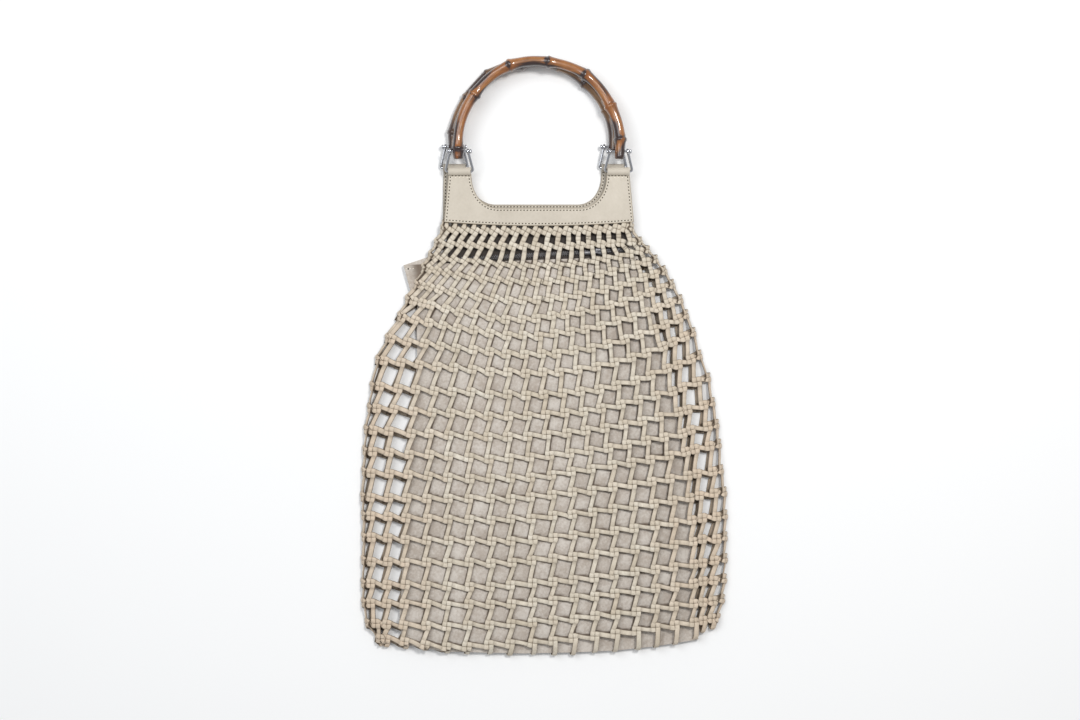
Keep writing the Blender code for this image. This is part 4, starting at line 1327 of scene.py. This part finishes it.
def make_shackle(side, word, loop_middle):
    """A trapezoid of rod: its bar turns in the leather loop, and its two eyes hold the pin."""
    pin = middle(f"pin_{side}_{word}")
    base = np.array((pin[0], *loop_middle))
    up = unit(pin - base)
    path = shackle_path(base, up, np.linalg.norm(pin - base))
    rod = Bundle()
    rod.add(sweep(path, WIRE, 14, np.cross(up, (1.0, 0, 0))), tube_faces(len(path), 14))
    for way in (-1, 1):
        centre = pin + np.array((way * SHACKLE_TOP_HALF, 0, 0))
        points = []
        # A ring that is oval in section, wider along the pin than across it.
        for turn in np.linspace(0, math.tau, EYE_STEPS + 1)[:-1]:
            spoke = up * math.cos(turn) + np.cross((1.0, 0, 0), up) * math.sin(turn)
            for angle in np.linspace(0, math.tau, EYE_SIDES + 1)[:-1]:
                radius = EYE_RING + EYE_ROD * math.cos(angle)
                points.append(centre + spoke * radius + np.array((EYE_HALF_WIDE * math.sin(angle), 0, 0)))
        rod.add(np.array(points), tube_faces(EYE_STEPS, EYE_SIDES, ends="joined"))
    piece = rod.piece(f"rod_shackle_{side}_{word}", CHROME, f"{side}_shackles", "steel", flat_angle=60)
    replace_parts(piece, f"shackle_{side}_{word}")


def make_pin(side, word):
    """A turned pin with a domed head outside each eye."""
    inner = SHACKLE_TOP_HALF + 2.2
    half = [(0.0, PIN_RADIUS)] + [(inner + reach, radius) for reach, radius in PIN_END]
    profile = [(-x, radius) for x, radius in reversed(half[1:])] + half
    points = turned(middle(f"pin_{side}_{word}"), profile, 24)
    piece = mesh_piece(f"turned_pin_{side}_{word}", points, tube_faces(len(profile), 24), CHROME,
                       f"{side}_handle", flat_angle=50)
    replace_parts(piece, f"pin_{side}_{word}")


# ---------------------------------------------------------------- floor, light and camera

# All in metres.
FLOOR_REACH = 6.0
FLOOR_DROP = 0.0002  # keeps the floor clear of the undersides that rest on it
SKY_COLOUR = (0.97, 0.985, 1.0, 1.0)
SKY_STRENGTH = 0.41
# Lamps over the bag: name, place, width, power and colour.
LAMPS = (("key", (0.6, 0.6, 1.85), 0.35, 18.5, (1.0, 0.985, 0.96)),
         ("fill", (-0.9, 0.7, 1.9), 1.6, 18.5, (0.96, 0.98, 1.0)))
CAMERA_PLACE = (-0.003, -0.004, 2.21)  # straight above, looking down
CAMERA_LENS = 73.3
CAMERA_SENSOR = 36.0


def lay_floor():
    """A pale square floor under the bag."""
    mesh = bpy.data.meshes.new("floor")
    corners = [(x * FLOOR_REACH, y * FLOOR_REACH, 0) for x, y in ((-1, -1), (1, -1), (1, 1), (-1, 1))]
    mesh.from_pydata(corners, [], [(0, 1, 2, 3)])
    mesh.materials.append(floor_paper())
    floor = bpy.data.objects.new("floor", mesh)
    floor.location.z = -FLOOR_DROP
    bpy.context.scene.collection.objects.link(floor)


def hang_lamp(name, place, width, power, colour):
    """A round soft lamp that points at the middle of the bag."""
    light = bpy.data.lights.new(name, "AREA")
    light.shape = "DISK"
    light.size = width
    light.energy = power
    light.color = colour
    lamp = bpy.data.objects.new(name, light)
    lamp.location = place
    lamp.rotation_euler = (-Vector(place)).to_track_quat("-Z", "Y").to_euler()
    lamp.visible_camera = False
    bpy.context.scene.collection.objects.link(lamp)


def set_studio():
    """Even light from all round, two soft lamps, and the camera."""
    scene = bpy.context.scene
    scene.world = bpy.data.worlds.new("studio")
    scene.world.use_nodes = True
    sky = scene.world.node_tree.nodes["Background"]
    sky.inputs["Color"].default_value = SKY_COLOUR
    sky.inputs["Strength"].default_value = SKY_STRENGTH
    for lamp in LAMPS:
        hang_lamp(*lamp)
    lens = bpy.data.cameras.new("camera")
    lens.lens = CAMERA_LENS
    lens.sensor_width = CAMERA_SENSOR
    lens.clip_end = 50.0
    camera = bpy.data.objects.new("camera", lens)
    camera.location = CAMERA_PLACE
    scene.collection.objects.link(camera)
    bpy.context.scene.camera = camera
    scene.view_settings.view_transform = "Standard"


def main():
    """Lays the floor, makes the bag from the net outwards to its handles, and lights it."""
    lay_floor()
    set_studio()
    make_net()
    make_pouch_front()
    make_pouch_back()
    sew_pouch_mouth()
    make_zip_tapes()
    make_zip_chain()
    make_zip_slider()
    make_yoke("front", FRONT_YOKE_Z, FRONT_LOOP_Z, 0.0, 0.0, 0.0)
    make_yoke("back", 0.0, BACK_LOOP_Z, BACK_TOP_SHIFT, BACK_BASE_SHIFT, BACK_RISE)
    make_cane("front", FRONT_TILT, CANE_FRONT)
    make_cane("back", 0.0, CANE_BACK)
    loops = {"front": (LOOP_Y, FRONT_LOOP_Z), "back": (LOOP_Y + BACK_RISE, BACK_LOOP_Z)}
    for side, loop_middle in loops.items():
        for word in ("left", "right"):
            make_shackle(side, word, loop_middle)
            make_pin(side, word)


main()
